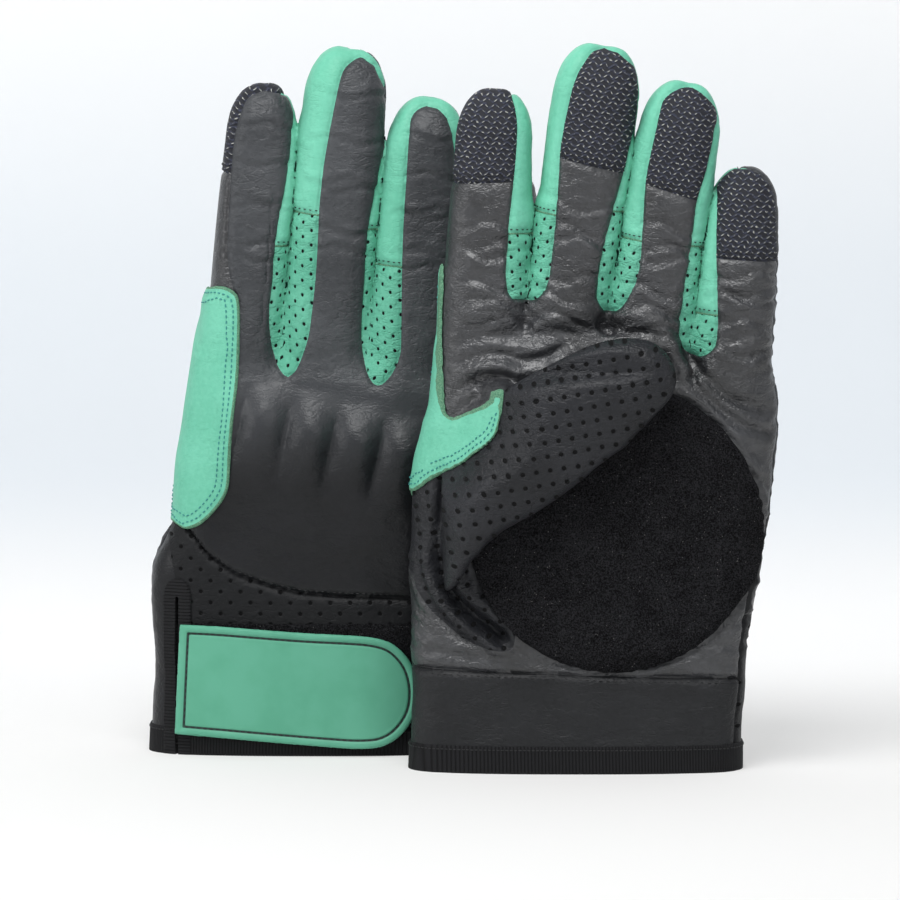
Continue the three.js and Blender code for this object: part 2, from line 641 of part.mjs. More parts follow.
function buildGlove(glove) {
  const room = roomForFingers(glove, -SEAM / 2);
  const skin = handLayer(glove, -WALL, 0).subtract(room);
  const tapeRegion = (grow) => box(
    new THREE.Vector3(-HAND_WIDTH, -farDepth, -OVERRUN),
    new THREE.Vector3(HAND_WIDTH, farDepth, HEM_HEIGHT + grow),
  ).add(throughDepth(slotOutline(SLIT_WIDTH / 2 + SLIT_TAPE + grow, SLIT_HEIGHT), 0, farDepth));
  const leather = skin.subtract(tapeRegion(SEAM));
  const backSide = leather.intersect(backRegion(0).add(pinkySide(0)));
  const palmSide = leather.subtract(backRegion(SEAM).add(pinkySide(SEAM)));

  const binding = handLayer(glove, -WALL - TAPE_RAISE, TAPE_RAISE)
    .intersect(tapeRegion(0))
    .subtract(throughDepth(slotOutline(SLIT_WIDTH / 2, SLIT_HEIGHT), 0, farDepth));

  const guardPlace = new THREE.Matrix4()
    .makeRotationY(radians(GUARD_TILT))
    .setPosition(GUARD_X, 0, GUARD_Z);
  const guard = handLayer(glove, -WALL - SEAM - GUARD_THICKNESS, -WALL - SEAM)
    .intersect(place(throughDepth(capsuleOutline(GUARD_LENGTH, GUARD_HEIGHT), 0, farDepth), guardPlace));

  const puckOutline = ellipseOutline(PUCK_X + glove.palmShift, PUCK_Z, PUCK_DIAMETER, PUCK_DIAMETER);
  const puck = handLayer(glove, SEAM, SEAM + PUCK_THICKNESS)
    .intersect(throughDepth(puckOutline, -farDepth, 0, ROUND_STEPS));

  const hookInner = TAPE_RAISE + SEAM;
  const strapInner = hookInner + HOOK_THICKNESS + SEAM;
  const hook = handLayer(glove, hookInner, hookInner + HOOK_THICKNESS)
    .intersect(strapRegion(HOOK_MARGIN));
  const strap = handLayer(glove, strapInner, strapInner + STRAP_THICKNESS)
    .intersect(strapRegion(0));

  const title = (name) => `${glove.name}_${name}`;
  const pieces = [
    mesh(backSide.intersect(aboveBackSeam(0)), title('back_leather'), black),
    mesh(backSide.subtract(aboveBackSeam(-SEAM)), title('cuff_back'), perforated),
    mesh(palmSide.intersect(abovePalmSeam(0)).subtract(thumbHole(glove)), title('palm_leather'), black),
    mesh(palmSide.subtract(abovePalmSeam(-SEAM)), title('cuff_band'), black),
    mesh(binding, title('hem_binding'), tape),
    mesh(guard, title('knuckle_guard'), shell),
    mesh(puck, title('puck_patch'), pile),
    mesh(patch(glove, room), title('thumb_patch'), mint),
    mesh(thumb(glove), title('thumb'), perforated),
    mesh(hook, title('strap_hook'), pile),
    mesh(strap, title('strap'), rubber),
    ...[0, 1, 2].map((k) => mesh(web(glove, k), title(`web_${k + 1}`), mint)),
    ...glove.fingers.flatMap((finger, k) => fingerPieces(glove, finger, k)),
  ];
  const group = new THREE.Group();
  group.add(...pieces.map((piece) => facing(piece, glove.backSign)));
  group.position.set(glove.backSign * PAIR_SPREAD / 2, -glove.backSign * PAIR_DEPTH / 2, 0);
  group.userData = { backSign: glove.backSign, folds: foldLines(glove) };
  return group;
}

// The pair stands on z = 0, centred on its own outline
const pair = new THREE.Group();
pair.add(...measuredGloves.map(buildGlove));
const bounds = new THREE.Box3().setFromObject(pair);
const middle = bounds.getCenter(new THREE.Vector3());
pair.position.set(-middle.x, -middle.y, -bounds.min.z);

export default pair;
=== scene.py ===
# A pair of longboard slide gloves, standing on their hems with the fingers up.
# The right-hand glove shows its back. The left-hand glove, a step in front, shows its palm.

import json
import math

import bpy
import numpy as np
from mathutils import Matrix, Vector, noise


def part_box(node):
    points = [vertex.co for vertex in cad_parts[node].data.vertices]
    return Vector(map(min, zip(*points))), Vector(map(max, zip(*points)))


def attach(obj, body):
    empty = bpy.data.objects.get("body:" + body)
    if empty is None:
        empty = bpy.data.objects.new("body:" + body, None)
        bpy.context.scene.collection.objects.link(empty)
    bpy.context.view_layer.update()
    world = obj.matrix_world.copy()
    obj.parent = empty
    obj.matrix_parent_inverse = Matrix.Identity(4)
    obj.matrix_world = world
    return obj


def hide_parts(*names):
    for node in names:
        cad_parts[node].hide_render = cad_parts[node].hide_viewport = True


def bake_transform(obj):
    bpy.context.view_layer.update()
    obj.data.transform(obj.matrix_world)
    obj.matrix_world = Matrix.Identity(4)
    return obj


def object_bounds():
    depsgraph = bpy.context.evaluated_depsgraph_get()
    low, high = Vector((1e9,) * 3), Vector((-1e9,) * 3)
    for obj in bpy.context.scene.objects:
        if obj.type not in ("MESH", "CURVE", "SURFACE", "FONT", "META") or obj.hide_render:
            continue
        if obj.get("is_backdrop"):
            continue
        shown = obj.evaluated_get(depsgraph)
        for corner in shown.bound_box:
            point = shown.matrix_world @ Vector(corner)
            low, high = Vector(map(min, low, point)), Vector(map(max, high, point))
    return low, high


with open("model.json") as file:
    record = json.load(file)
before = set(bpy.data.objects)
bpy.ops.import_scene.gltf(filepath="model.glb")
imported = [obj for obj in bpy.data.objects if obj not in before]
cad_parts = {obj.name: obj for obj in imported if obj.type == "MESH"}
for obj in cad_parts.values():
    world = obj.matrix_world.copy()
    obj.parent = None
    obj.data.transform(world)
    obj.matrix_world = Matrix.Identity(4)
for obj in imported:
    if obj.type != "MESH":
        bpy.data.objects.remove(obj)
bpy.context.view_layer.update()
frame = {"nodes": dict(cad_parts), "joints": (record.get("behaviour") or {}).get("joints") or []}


# The skin of a glove
# Thin goatskin, sewn from panels into one closed shape that lies flat when it is empty.
# It is worked out in millimetres in a frame of the glove's own: x from the thumb side to the
# little finger, y from the palm (negative) to the back (positive), z from the hem up.

MM = 0.001
SQUARENESS = 2.8          # exponent of the hand's superelliptic cross-section
HAND_LENGTH = 168
HALF_HAND = 62
SLIT_X = -46
SLIT_HEIGHT = 55
PIVOT_DEPTH = 14.4        # the finger creases, in front of the middle of the hand
KNUCKLE_DROP = 27         # the knuckles lie lower than the creases
HALF_FINGER_DEPTH = 13
TIP_LENGTH = 18           # rounded end of a finger
SIDE_SEAM_DEPTH = 4       # the little finger's side seam lies this far in front of the middle
PARTING_LIFT = -1.5       # the finger panels start this far from the sloping parting face
STEP = 1.2
SETTLING_ROUNDS = 3
GRID_LOW, GRID_HIGH = (-72.0, -23.0, -3.0), (102.0, 23.0, 256.0)

hand_depths = [(0, 18), (35, 17), (57, 16.5), (77, 17), (97, 17), (118, 16), (138, 14.5), (168, 13.6)]
thumb_edges = {           # height above the hem and place across of the hand's two edges
    "right": [(0, -55.6), (13, -55), (23, -54.5), (40, -54), (54, -55.3), (64.5, -54.6), (70, -52.6),
              (76, -49.2), (83, -46.4), (95, -46), (102, -45.4), (116, -42.2), (137, -39), (154, -36.6),
              (168, -35.8)],
    "left": [(0, -54.5), (13, -54.8), (40, -56), (73, -57), (95, -56.8), (108, -54.8), (116, -51.8),
             (124, -49), (140, -47.4), (175, -46.4)],
}
little_edges = {
    "right": [(0, 56), (35, 56.5), (57, 59), (77, 63), (97, 67), (118, 71.3), (138, 74.4), (168, 76.8)],
    "left": [(0, 56), (13, 55.6), (46, 57.6), (70, 62), (97, 66.4), (118, 68.4), (145, 67.4), (176, 67.4)],
}
palm_shift = {"right": 6, "left": 0}
tip_gaps = {"right": 1.2, "left": 2.7}       # the leather ends this far inside the top of the finger's panels
touch_heights = {"right": (60, 54, 48), "left": (36, 58, 50)}     # neighbouring fingers part above these
PATCH_TOPS = {"right": 158, "left": 172}
lip_drops = (4, 4, 14)    # below a gusset the palm's upper edge dips by this much
FINGERS = ("index", "middle", "ring", "little")
finger_widths = {         # full width and width at the root
    "right": {"index": (24.4, 25.5), "middle": (28.4, 28), "ring": (26.5, 27), "little": (24, 25)},
    "left": {"index": (26.4, 28.5), "middle": (29.4, 26), "ring": (27.2, 25.5), "little": (23.6, 26)},
}
finger_shifts = {         # the stuffed finger against its joint, toward the little finger
    "right": {"index": -0.6, "middle": -2.2, "ring": -1.6, "little": 0},
    "left": {"index": 0, "middle": -0.8, "ring": -0.4, "little": -0.6},
}
joints = {joint["name"]: joint for joint in frame["joints"]}


def smooth_table(places, values, blur=9):
    """A function through a table's points, its corners softened over a blur in millimetres."""
    order = np.argsort(places)
    places, values = np.asarray(places, float)[order], np.asarray(values, float)[order]
    fine = np.arange(places[0] - 2 * blur, places[-1] + 2 * blur, 0.5)
    width = max(1, int(blur)) * 2 + 1
    line = np.interp(fine, places, values)
    for _ in range(2):
        line = np.convolve(np.pad(line, width // 2, mode="edge"), np.ones(width) / width, mode="valid")
    return lambda at: np.interp(at, fine, line)


def smooth_min(one, two, reach):
    near = np.maximum(reach - np.abs(one - two), 0) / reach
    return np.minimum(one, two) - near * near * reach / 4


def smooth_step(share):
    share = np.clip(share, 0, 1)
    return share * share * (3 - 2 * share)


def superellipse(across, through, half_width, half_depth, power):
    """Roughly the distance from a superellipse, negative inside."""
    a, b = np.abs(across) / half_width, np.abs(through) / half_depth
    reach = (a ** power + b ** power) ** (1 / power) + 1e-9
    slope = np.hypot(a ** (power - 1) / half_width, b ** (power - 1) / half_depth)
    slope = slope * reach ** (1 - power)
    return (reach - 1) / np.maximum(slope, 1 / (half_width + half_depth))


class Finger:
    """One finger in its own frame: height above its crease and distance from its middle."""

    def __init__(self, glove, name):
        joint = joints[f"{glove.side}_{name}_curl"]
        x, _, z = joint["pos_m"]
        self.name = name
        self.x, self.crease = x / MM - glove.x, z / MM
        self.lean = math.acos(min(1, abs(joint["axis"][0])))
        top = max(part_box(f"{glove.side}_{name}_{part}")[1].z for part in ("side_strip", "tip_pad"))
        self.length = (top / MM - self.crease) / math.cos(self.lean) - tip_gaps[glove.side]
        width, root = finger_widths[glove.side][name]
        heights = [-KNUCKLE_DROP, 0, 0.36 * self.length, 0.62 * self.length, self.length - TIP_LENGTH]
        widths = [root * 0.82, root, root * 0.8 + width * 0.2, width, width * 0.97]
        self.half_width = smooth_table(heights, [w / 2 for w in widths], 12)
        self.half_depth = smooth_table(heights, [HALF_FINGER_DEPTH * d for d in (1, 1, 0.95, 0.93, 0.87)], 12)
        self.shift = finger_shifts[glove.side][name]
        self.swell = {-1: lambda s: 0 * s, 1: lambda s: 0 * s}

    def local(self, places):
        dx, dz = places[..., 0] - self.x, places[..., 2] - self.crease
        c, s = math.cos(self.lean), math.sin(self.lean)
        return dx * s + dz * c, dx * c - dz * s

    def middle_line(self):
        """Heights above the crease and the places there on the finger's middle line."""
        s = np.linspace(-40, 100, 141)
        across = self.x + self.shift + s * math.sin(self.lean)
        return s, np.stack([across, 0 * s, self.crease + s * math.cos(self.lean)], 1)

    def meet(self, other, way, top):
        """Swells one side until it touches the next finger, up to a height above the crease."""
        s, spot = self.middle_line()
        level, apart = other.local(spot)
        gap = np.abs(apart - other.shift) - self.half_width(s) - other.half_width(level)
        swell = np.maximum(gap / 2 + 0.4, 0) * (1 - smooth_step((s - top + 6) / 12))
        self.swell[way] = lambda at: np.interp(at, s, swell)

    def reach_edge(self, edge, top):
        """Swells the thumb side out to the hand's edge, below a height above the hem."""
        s, spot = self.middle_line()
        gap = (spot[:, 0] - edge(spot[:, 2])) * math.cos(self.lean) - self.half_width(s)
        swell = np.maximum(gap, 0) * (1 - smooth_step((spot[:, 2] - top + 3) / 6))
        self.swell[-1] = lambda at: np.interp(at, s, swell)

    def field(self, places):
        """Roughly the distance from the finger's surface, negative inside."""
        s, u = self.local(places)
        u = u - self.shift
        half_width, half_depth = self.half_width(s), self.half_depth(s)
        swell = np.where(u > 0, self.swell[1](s), self.swell[-1](s))
        half_width = half_width + swell * smooth_step(np.abs(u) / 8)
        side = superellipse(u, places[..., 1], half_width, half_depth, 2.6)
        over = np.clip((s - self.length + TIP_LENGTH) / TIP_LENGTH, 0, 1.6)
        half = np.minimum(half_width, half_depth)
        reach = np.maximum(side / half + 1, 0)
        end = ((reach ** 2.1 + over ** 2.1) ** (1 / 2.1) - 1) * half
        return np.where(over > 0, end, side)


class Glove:
    """The measures of one glove and where it stands in the pair."""

    def __init__(self, side):
        self.side = side
        self.sign = 1 if side == "left" else -1
        low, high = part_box(f"{side}_hem_binding")
        self.x = joints[f"{side}_strap_peel"]["pos_m"][0] / MM - SLIT_X
        self.y = (low.y + high.y) / 2 / MM
        self.left = smooth_table(*zip(*thumb_edges[side]), 4)
        self.right = smooth_table(*zip(*little_edges[side]), 8)
        self.depth = smooth_table(*zip(*hand_depths), 12)
        self.shift = palm_shift[side]
        self.fingers = [Finger(self, name) for name in FINGERS]
        for one, two, top in zip(self.fingers[:-1], self.fingers[1:], touch_heights[side]):
            one.meet(two, 1, top)
            two.meet(one, -1, top + one.crease - two.crease)
        self.fingers[0].reach_edge(self.left, PATCH_TOPS[side])
        self.valleys = [(one.x + two.x) / 2 for one, two in zip(self.fingers[:-1], self.fingers[1:])]
        self.crease = smooth_table([f.x for f in self.fingers], [f.crease for f in self.fingers], 8)

    def parting(self, places):
        """Height above the sloping face that parts the fingers from the hand."""
        drop = KNUCKLE_DROP * (places[..., 1] + PIVOT_DEPTH) / (2 * PIVOT_DEPTH)
        return places[..., 2] - self.crease(places[..., 0]) + drop

    def hand_field(self, places):
        left, right = self.left(places[..., 2]), self.right(places[..., 2])
        body = superellipse(places[..., 0] - (left + right) / 2, places[..., 1],
                            (right - left) / 2, self.depth(places[..., 2]), SQUARENESS)
        above = self.parting(places) - 1
        front = smooth_step((4 - places[..., 1]) / 10)
        for valley, drop in zip(self.valleys, lip_drops):
            above = above + front * drop * np.exp(-((places[..., 0] - valley) / 6) ** 2)
        return -smooth_min(-body, -0.73 * above, 5)

    def field(self, places):
        above = self.parting(places)
        reach = np.clip(6 - above * 0.16, 0.4, 6)
        whole = self.fingers[0].field(places)
        for finger in self.fingers[1:]:
            whole = smooth_min(whole, finger.field(places), reach)
        return smooth_min(self.hand_field(places), whole, 4)

    def world(self, places):
        """The same places in the pair, in metres."""
        return np.stack([places[:, 0] + self.x, places[:, 1] * self.sign + self.y, places[:, 2]], 1) * MM


class Sheet:
    """Triangles with named values at their corners, which can be cut where a value is zero."""

    def __init__(self, places, triangles, values=None):
        self.places, self.triangles, self.values = places, triangles, dict(values or {})

    def picked(self, chosen):
        triangles = self.triangles[chosen]
        used, back = np.unique(triangles, return_inverse=True)
        values = {name: value[used] for name, value in self.values.items()}
        return Sheet(self.places[used], back.reshape(-1, 3), values)

    def split(self, name, level=0.0, snap=0.08):
        """The same sheet with corners added where the value crosses a level."""
        value = self.values[name] - level
        value = np.where(np.abs(value) < snap, 0, value)
        sign = np.sign(value)
        corners = sign[self.triangles]
        crossing = (corners.max(1) > 0) & (corners.min(1) < 0)
        cut = self.triangles[crossing]
        corners = sign[cut]
        on_line = (corners == 0).any(1)
        lone = np.where(corners.sum(1, keepdims=True) > 0, corners < 0, corners > 0)
        first = np.where(on_line, np.argmax(corners == 0, 1), np.argmax(lone, 1))
        a, b, c = (cut[np.arange(len(cut)), (first + k) % 3] for k in range(3))
        through, lone = on_line, ~on_line
        pairs = [np.stack([b, c], 1)[through], np.stack([a, b], 1)[lone], np.stack([a, c], 1)[lone]]
        pairs = np.vstack(pairs)
        edges, where = np.unique(np.sort(pairs, 1), axis=0, return_inverse=True)
        where = where.reshape(-1) + len(self.places)
        share = value[edges[:, 0]] / (value[edges[:, 0]] - value[edges[:, 1]])
        count, rest = int(through.sum()), int(lone.sum())
        on_bc, on_ab, on_ac = where[:count], where[count:count + rest], where[count + rest:]
        triangles = np.vstack([
            self.triangles[~crossing],
            np.stack([a[through], b[through], on_bc], 1), np.stack([a[through], on_bc, c[through]], 1),
            np.stack([a[lone], on_ab, on_ac], 1), np.stack([on_ab, b[lone], c[lone]], 1),
            np.stack([on_ab, c[lone], on_ac], 1)])

        def grown(array):
            weight = share if array.ndim == 1 else share[:, None]
            return np.concatenate([array, array[edges[:, 0]] * (1 - weight) + array[edges[:, 1]] * weight])

        values = {key: grown(array) for key, array in self.values.items()}
        values[name] = np.concatenate([value, np.zeros(len(edges))]) + level
        return Sheet(grown(self.places), triangles, values)

    def above(self, name, level=0.0):
        """The part of the sheet where the value is above a level."""
        done = self.split(name, level)
        return done.picked(done.values[name][done.triangles].mean(1) > level)

    def below(self, name, level=0.0):
        done = self.split(name, level)
        return done.picked(done.values[name][done.triangles].mean(1) <= level)

    def given(self, **values):
        return Sheet(self.places, self.triangles, {**self.values, **values})

    def smoothed(self):
        """The same sheet with its normals worked out again."""
        return self.given(normal=normals_of(self.places, self.triangles))

    def raised(self, height):
        return Sheet(self.places + self.values["normal"] * np.reshape(height, (-1, 1)),
                     self.triangles, self.values)


def halved(quads):
    """Two triangles for each quad."""
    return np.vstack([quads[:, [0, 1, 2]], quads[:, [0, 2, 3]]])


def grid_triangles(rows, columns):
    """The triangles between neighbours in a grid of places, which are listed row by row."""
    cell = np.arange(rows - 1)[:, None] * columns + np.arange(columns - 1)
    return halved(np.stack([cell, cell + 1, cell + columns + 1, cell + columns], -1).reshape(-1, 4))


def normals_of(places, triangles):
    a, b, c = (places[triangles[:, k]] for k in range(3))
    face = np.cross(b - a, c - a)
    normals = np.stack([
        sum(np.bincount(triangles[:, k], face[:, axis], len(places)) for k in range(3))
        for axis in range(3)], 1)
    return normals / np.maximum(np.linalg.norm(normals, axis=1, keepdims=True), 1e-12)


def true_distance(sheet, value):
    """A value scaled to a distance along the sheet near its zero line."""
    places, triangles = sheet.places, sheet.triangles
    a, b, c = (places[triangles[:, k]] for k in range(3))
    normal = np.cross(b - a, c - a)
    area = np.maximum(np.linalg.norm(normal, axis=1), 1e-9)
    fa, fb, fc = (value[triangles[:, k]][:, None] for k in range(3))
    turned = fa * (c - b) + fb * (a - c) + fc * (b - a)
    slope = np.linalg.norm(np.cross(normal / area[:, None], turned), axis=1) / area
    total = sum(np.bincount(triangles[:, k], slope * area, len(places)) for k in range(3))
    weight = sum(np.bincount(triangles[:, k], area, len(places)) for k in range(3))
    return value / np.clip(total / np.maximum(weight, 1e-9), 0.25, 4)


def surface_net(values, low, step):
    """The zero surface of a field on a grid, as places and outward triangles."""
    inside = values < 0
    shape = tuple(n - 1 for n in values.shape)
    corners = [np.array([i, j, k]) for i in (0, 1) for j in (0, 1) for k in (0, 1)]
    count = sum(inside[i:i + shape[0], j:j + shape[1], k:k + shape[2]].astype(int) for i, j, k in corners)
    active = (count > 0) & (count < 8)
    cells = np.argwhere(active)
    index = np.full(shape, -1)
    index[active] = np.arange(len(cells))
    places, hits = np.zeros((len(cells), 3)), np.zeros(len(cells))
    for a in corners:
        for axis in range(3):
            if a[axis]:
                continue
            b = a.copy()
            b[axis] = 1
            va, vb = values[tuple((cells + a).T)], values[tuple((cells + b).T)]
            cross = (va < 0) != (vb < 0)
            share = np.where(cross, va / np.where(cross, va - vb, 1), 0)
            places += np.where(cross[:, None], cells + a + share[:, None] * (b - a), 0)
            hits += cross
    places = low + step * (places / hits[:, None])
    quads = []
    for axis in range(3):
        one, two = np.eye(3, dtype=int)[(axis + 1) % 3], np.eye(3, dtype=int)[(axis + 2) % 3]
        near = inside[tuple(slice(0, -1) if k == axis else slice(1, -1) for k in range(3))]
        far = inside[tuple(slice(1, None) if k == axis else slice(1, -1) for k in range(3))]
        edges = np.argwhere(near != far) + 1 - np.eye(3, dtype=int)[axis]
        quad = np.stack([index[tuple((edges - o).T)] for o in (0 * one, one, one + two, two)], 1)
        flip = ~inside[tuple(edges.T)]
        quad[flip] = quad[flip][:, ::-1]
        quads.append(quad)
    quads = np.vstack(quads)
    return places, halved(quads[(quads >= 0).all(1)])


def bare_skin(glove):
    """The smooth outer surface of a glove, open at the hem."""
    axes = [np.arange(a, b, STEP) for a, b in zip(GRID_LOW, GRID_HIGH)]
    grid = np.stack(np.meshgrid(*axes, indexing="ij"), -1)
    places, triangles = surface_net(glove.field(grid), np.array(GRID_LOW), STEP)
    for _ in range(SETTLING_ROUNDS):
        level = glove.field(places)
        slope = np.stack([glove.field(places + np.eye(3)[k] * 0.1) - level for k in range(3)], 1) / 0.1
        move = level / np.maximum((slope ** 2).sum(1), 0.1)
        places = places - np.clip(move, -1, 1)[:, None] * slope
    return Sheet(places, triangles, {"z": places[:, 2]}).above("z", 0.01)


# Where the panels of the skin meet
# The back leather, the palm leather and the mint side strips are sewn edge to edge. Their seams
# were taken from the real pair as heights above a finger's crease and distances from its middle.

back_seams = {            # down the thumb side of each finger's back leather, and up its other side
    "index": ([(73.6, -1), (70, -6.7), (57.5, -9.9), (43.7, -10.1), (19.5, -9.2), (9.3, -7.6), (-1, -4),
               (-14, -5), (-30, -9), (-60, -11)],
              [(-28, 90), (-27, 24), (-25.3, 16.2), (-21.8, 12.4), (-16.8, 10.6), (-10, 9), (-3, 8),
               (7, 8.1), (17.6, 8), (28, 8.5), (36.7, 9.4), (45.5, 10.3), (55.9, 10.8), (64.6, 10.5),
               (70, 8.8), (73, 5)], 75),
    "middle": ([(84.7, 2), (83, -0.9), (79.6, -3.7), (74.3, -4.9), (60.3, -6.4), (46.4, -7.5), (30.8, -7.7),
                (8.3, -6.7), (-12.5, -7), (-19.5, -8.3), (-26, -10.5), (-29, -14), (-30, -24), (-30.5, -90)],
               [(-30.5, 90), (-30, 26), (-28.6, 19.5), (-27.9, 16.7), (-24.3, 14.2), (-17.6, 12.2),
                (-7.3, 11.2), (6.5, 10.6), (25.5, 10.2), (39.5, 11.6), (55.3, 13), (70.7, 11.7),
                (75.8, 10.2), (81.7, 7.2)], 86),
    "ring": ([(71.2, -3), (69.2, -6.3), (66, -8.1), (57.3, -8.2), (29.7, -8), (15.9, -7.5), (-13.4, -5.8),
              (-18.6, -6.4), (-24.3, -9.1), (-27.5, -13), (-29, -24), (-29.5, -90)],
             [(-27, 90), (-26, 24), (-24, 16), (-20, 12), (-13, 10), (0, 9.2), (20, 9.6), (45, 9.6),
              (58.5, 7.9), (66.9, 4.9), (70.4, 1.2)], 73),
    "little": ([(62, 3), (59, -2), (55, -5.5), (48, -7.4), (30, -7.6), (8, -7.2), (-10, -7), (-16, -8),
                (-22, -11), (-25, -16), (-26, -24), (-27, -90)],
               [(-27, 90), (0, 40), (30, 40), (70, 40), (70, 3)], 58),
}
palm_seams = {            # the same round the palm leather and the fabric tips
    "index": ([(90, -60), (-60, -60)],
              [(3, 28), (3, 30), (3.1, 14.5), (3.8, 11.6), (5.6, 9.4), (9, 7.6), (15.5, 6.6), (25.8, 6.9),
               (32.7, 6.8), (47.3, 7.8), (57, 8.3), (63.9, 8.3), (70.8, 7.6), (78.3, 5.3), (84, 3), (90, 2)],
              78.5),
    "middle": ([(92.6, -0.9), (91, -4.5), (86, -7.3), (82, -8.8), (75.5, -9.9), (61.4, -10.7), (52.8, -10.6),
                (32.1, -8.7), (16.5, -8), (9.6, -8), (5.4, -9), (2.8, -10.7), (1.6, -13), (1.3, -24),
                (1.3, -28)],
               [(0.6, 28), (0.6, 24), (1, 14.6), (2.2, 12.2), (4.8, 10.2), (8, 9.4), (19.1, 9), (26.2, 9.7),
                (36.8, 10.9), (50.3, 12.4), (65.2, 13.7), (79.1, 13.2), (85.8, 11.5), (89.5, 8), (91.6, 4.1)],
               92.5),
    "ring": ([(83.7, 1.1), (82.8, -2.2), (80.2, -6), (76.3, -8.3), (62.2, -9.3), (48.2, -9.8), (27.6, -8),
              (18.9, -7.4), (12, -8.2), (7, -9.8), (3.4, -11.6), (1.6, -13.6), (1, -24), (1, -28)],
             [(-9.6, 28), (-9.6, 24), (-9.4, 16.4), (-8.4, 13.2), (-5.6, 11), (-2, 9.9), (2.3, 9.4),
              (12.7, 9.3), (27.7, 9.5), (44, 9), (54.8, 10.7), (72.4, 11.9), (76.5, 11.1), (79.9, 8.6),
              (82.5, 4.8)], 84),
    "little": ([(62.8, 2), (62.6, -3.5), (60.8, -8.6), (58.3, -10.4), (54.7, -11), (42, -10.4), (30.7, -9.6),
                (22.1, -8.6), (8.4, -7.3), (2, -7.3), (-1.4, -8.2), (-3.8, -10.4), (-4.9, -13.6), (-5.2, -24),
                (-5.2, -28)],
               [(-60, 60), (90, 60), (90, 2)], 63),
}
pad_heights = {"index": (46.5, 0.1), "middle": (51.6, -0.1), "ring": (46, -0.17), "little": (30.6, 0)}
strip_heights = {         # lower ends of the smooth side strips, thumb side and little finger side
    "right": {"index": (0, 19.5), "middle": (28, 24.5), "ring": (14, 18), "little": (8, 0)},
    "left": {"index": (0, 28), "middle": (32, 36), "ring": (27, 27.7), "little": (10, 0)},
}

back_seam_height = smooth_table(
    [-60, -46, -42, -36, -26, -14, -3, 10, 90], [84, 82, 78, 70, 63, 59, 56.5, 55.5, 52.4], 3)


def rounded_line(points, steps=5):
    """A polyline through the points with its corners rounded."""
    p = np.asarray(points, float)
    legs = np.linalg.norm(np.diff(p, axis=0), axis=1)
    legs = np.concatenate([legs[:1], legs, legs[-1:]])
    chords = np.vstack([p[1:2], p[2:], p[-1:]]) - np.vstack([p[:1], p[:-2], p[-2:-1]])
    chords = chords / np.linalg.norm(chords, axis=1, keepdims=True)
    slopes = chords * np.minimum(legs[:-1], legs[1:])[:, None]
    t = np.linspace(0, 1, steps, endpoint=False)[:, None]
    parts = [b * (1 + 2 * t) * (1 - t) ** 2 + m * t * (1 - t) ** 2
             + c * t * t * (3 - 2 * t) - n * t * t * (1 - t)
             for b, c, m, n in zip(p[:-1], p[1:], slopes[:-1], slopes[1:])]
    return np.vstack(parts + [p[-1:]])


def line_distance(points, line, closed=False):
    """Distance from a polyline, and on a closed one negative outside it."""
    ends = np.roll(line, -1, 0) if closed else line[1:]
    best, inside = np.full(len(points), 1e9), np.zeros(len(points), bool)
    for a, b in zip(line, ends):
        edge = b - a
        share = np.clip(((points - a) @ edge) / max(edge @ edge, 1e-9), 0, 1)
        gap = points - a - share[:, None] * edge
        best = np.minimum(best, np.einsum("ij,ij->i", gap, gap))
        if closed and abs(edge[1]) > 1e-9:
            spans = (a[1] > points[:, 1]) != (b[1] > points[:, 1])
            inside ^= spans & (points[:, 0] < edge[0] * (points[:, 1] - a[1]) / edge[1] + a[0])
    best = np.sqrt(best)
    return np.where(inside, best, -best) if closed else best


def seam_outline(seams, finger):
    """A finger panel's outline as distance across and height, stretched to this finger."""
    down, up, measured = seams
    stretch = finger.length / measured
    down, up = ([(u, s * stretch if s > 0 else s) for s, u in line] for line in (down, up))
    low = min(down[-1][1], up[0][1]) - 200
    foot = [[down[-1][0], low], [up[0][0], low]]
    return np.vstack([rounded_line(down), foot, rounded_line(up)])


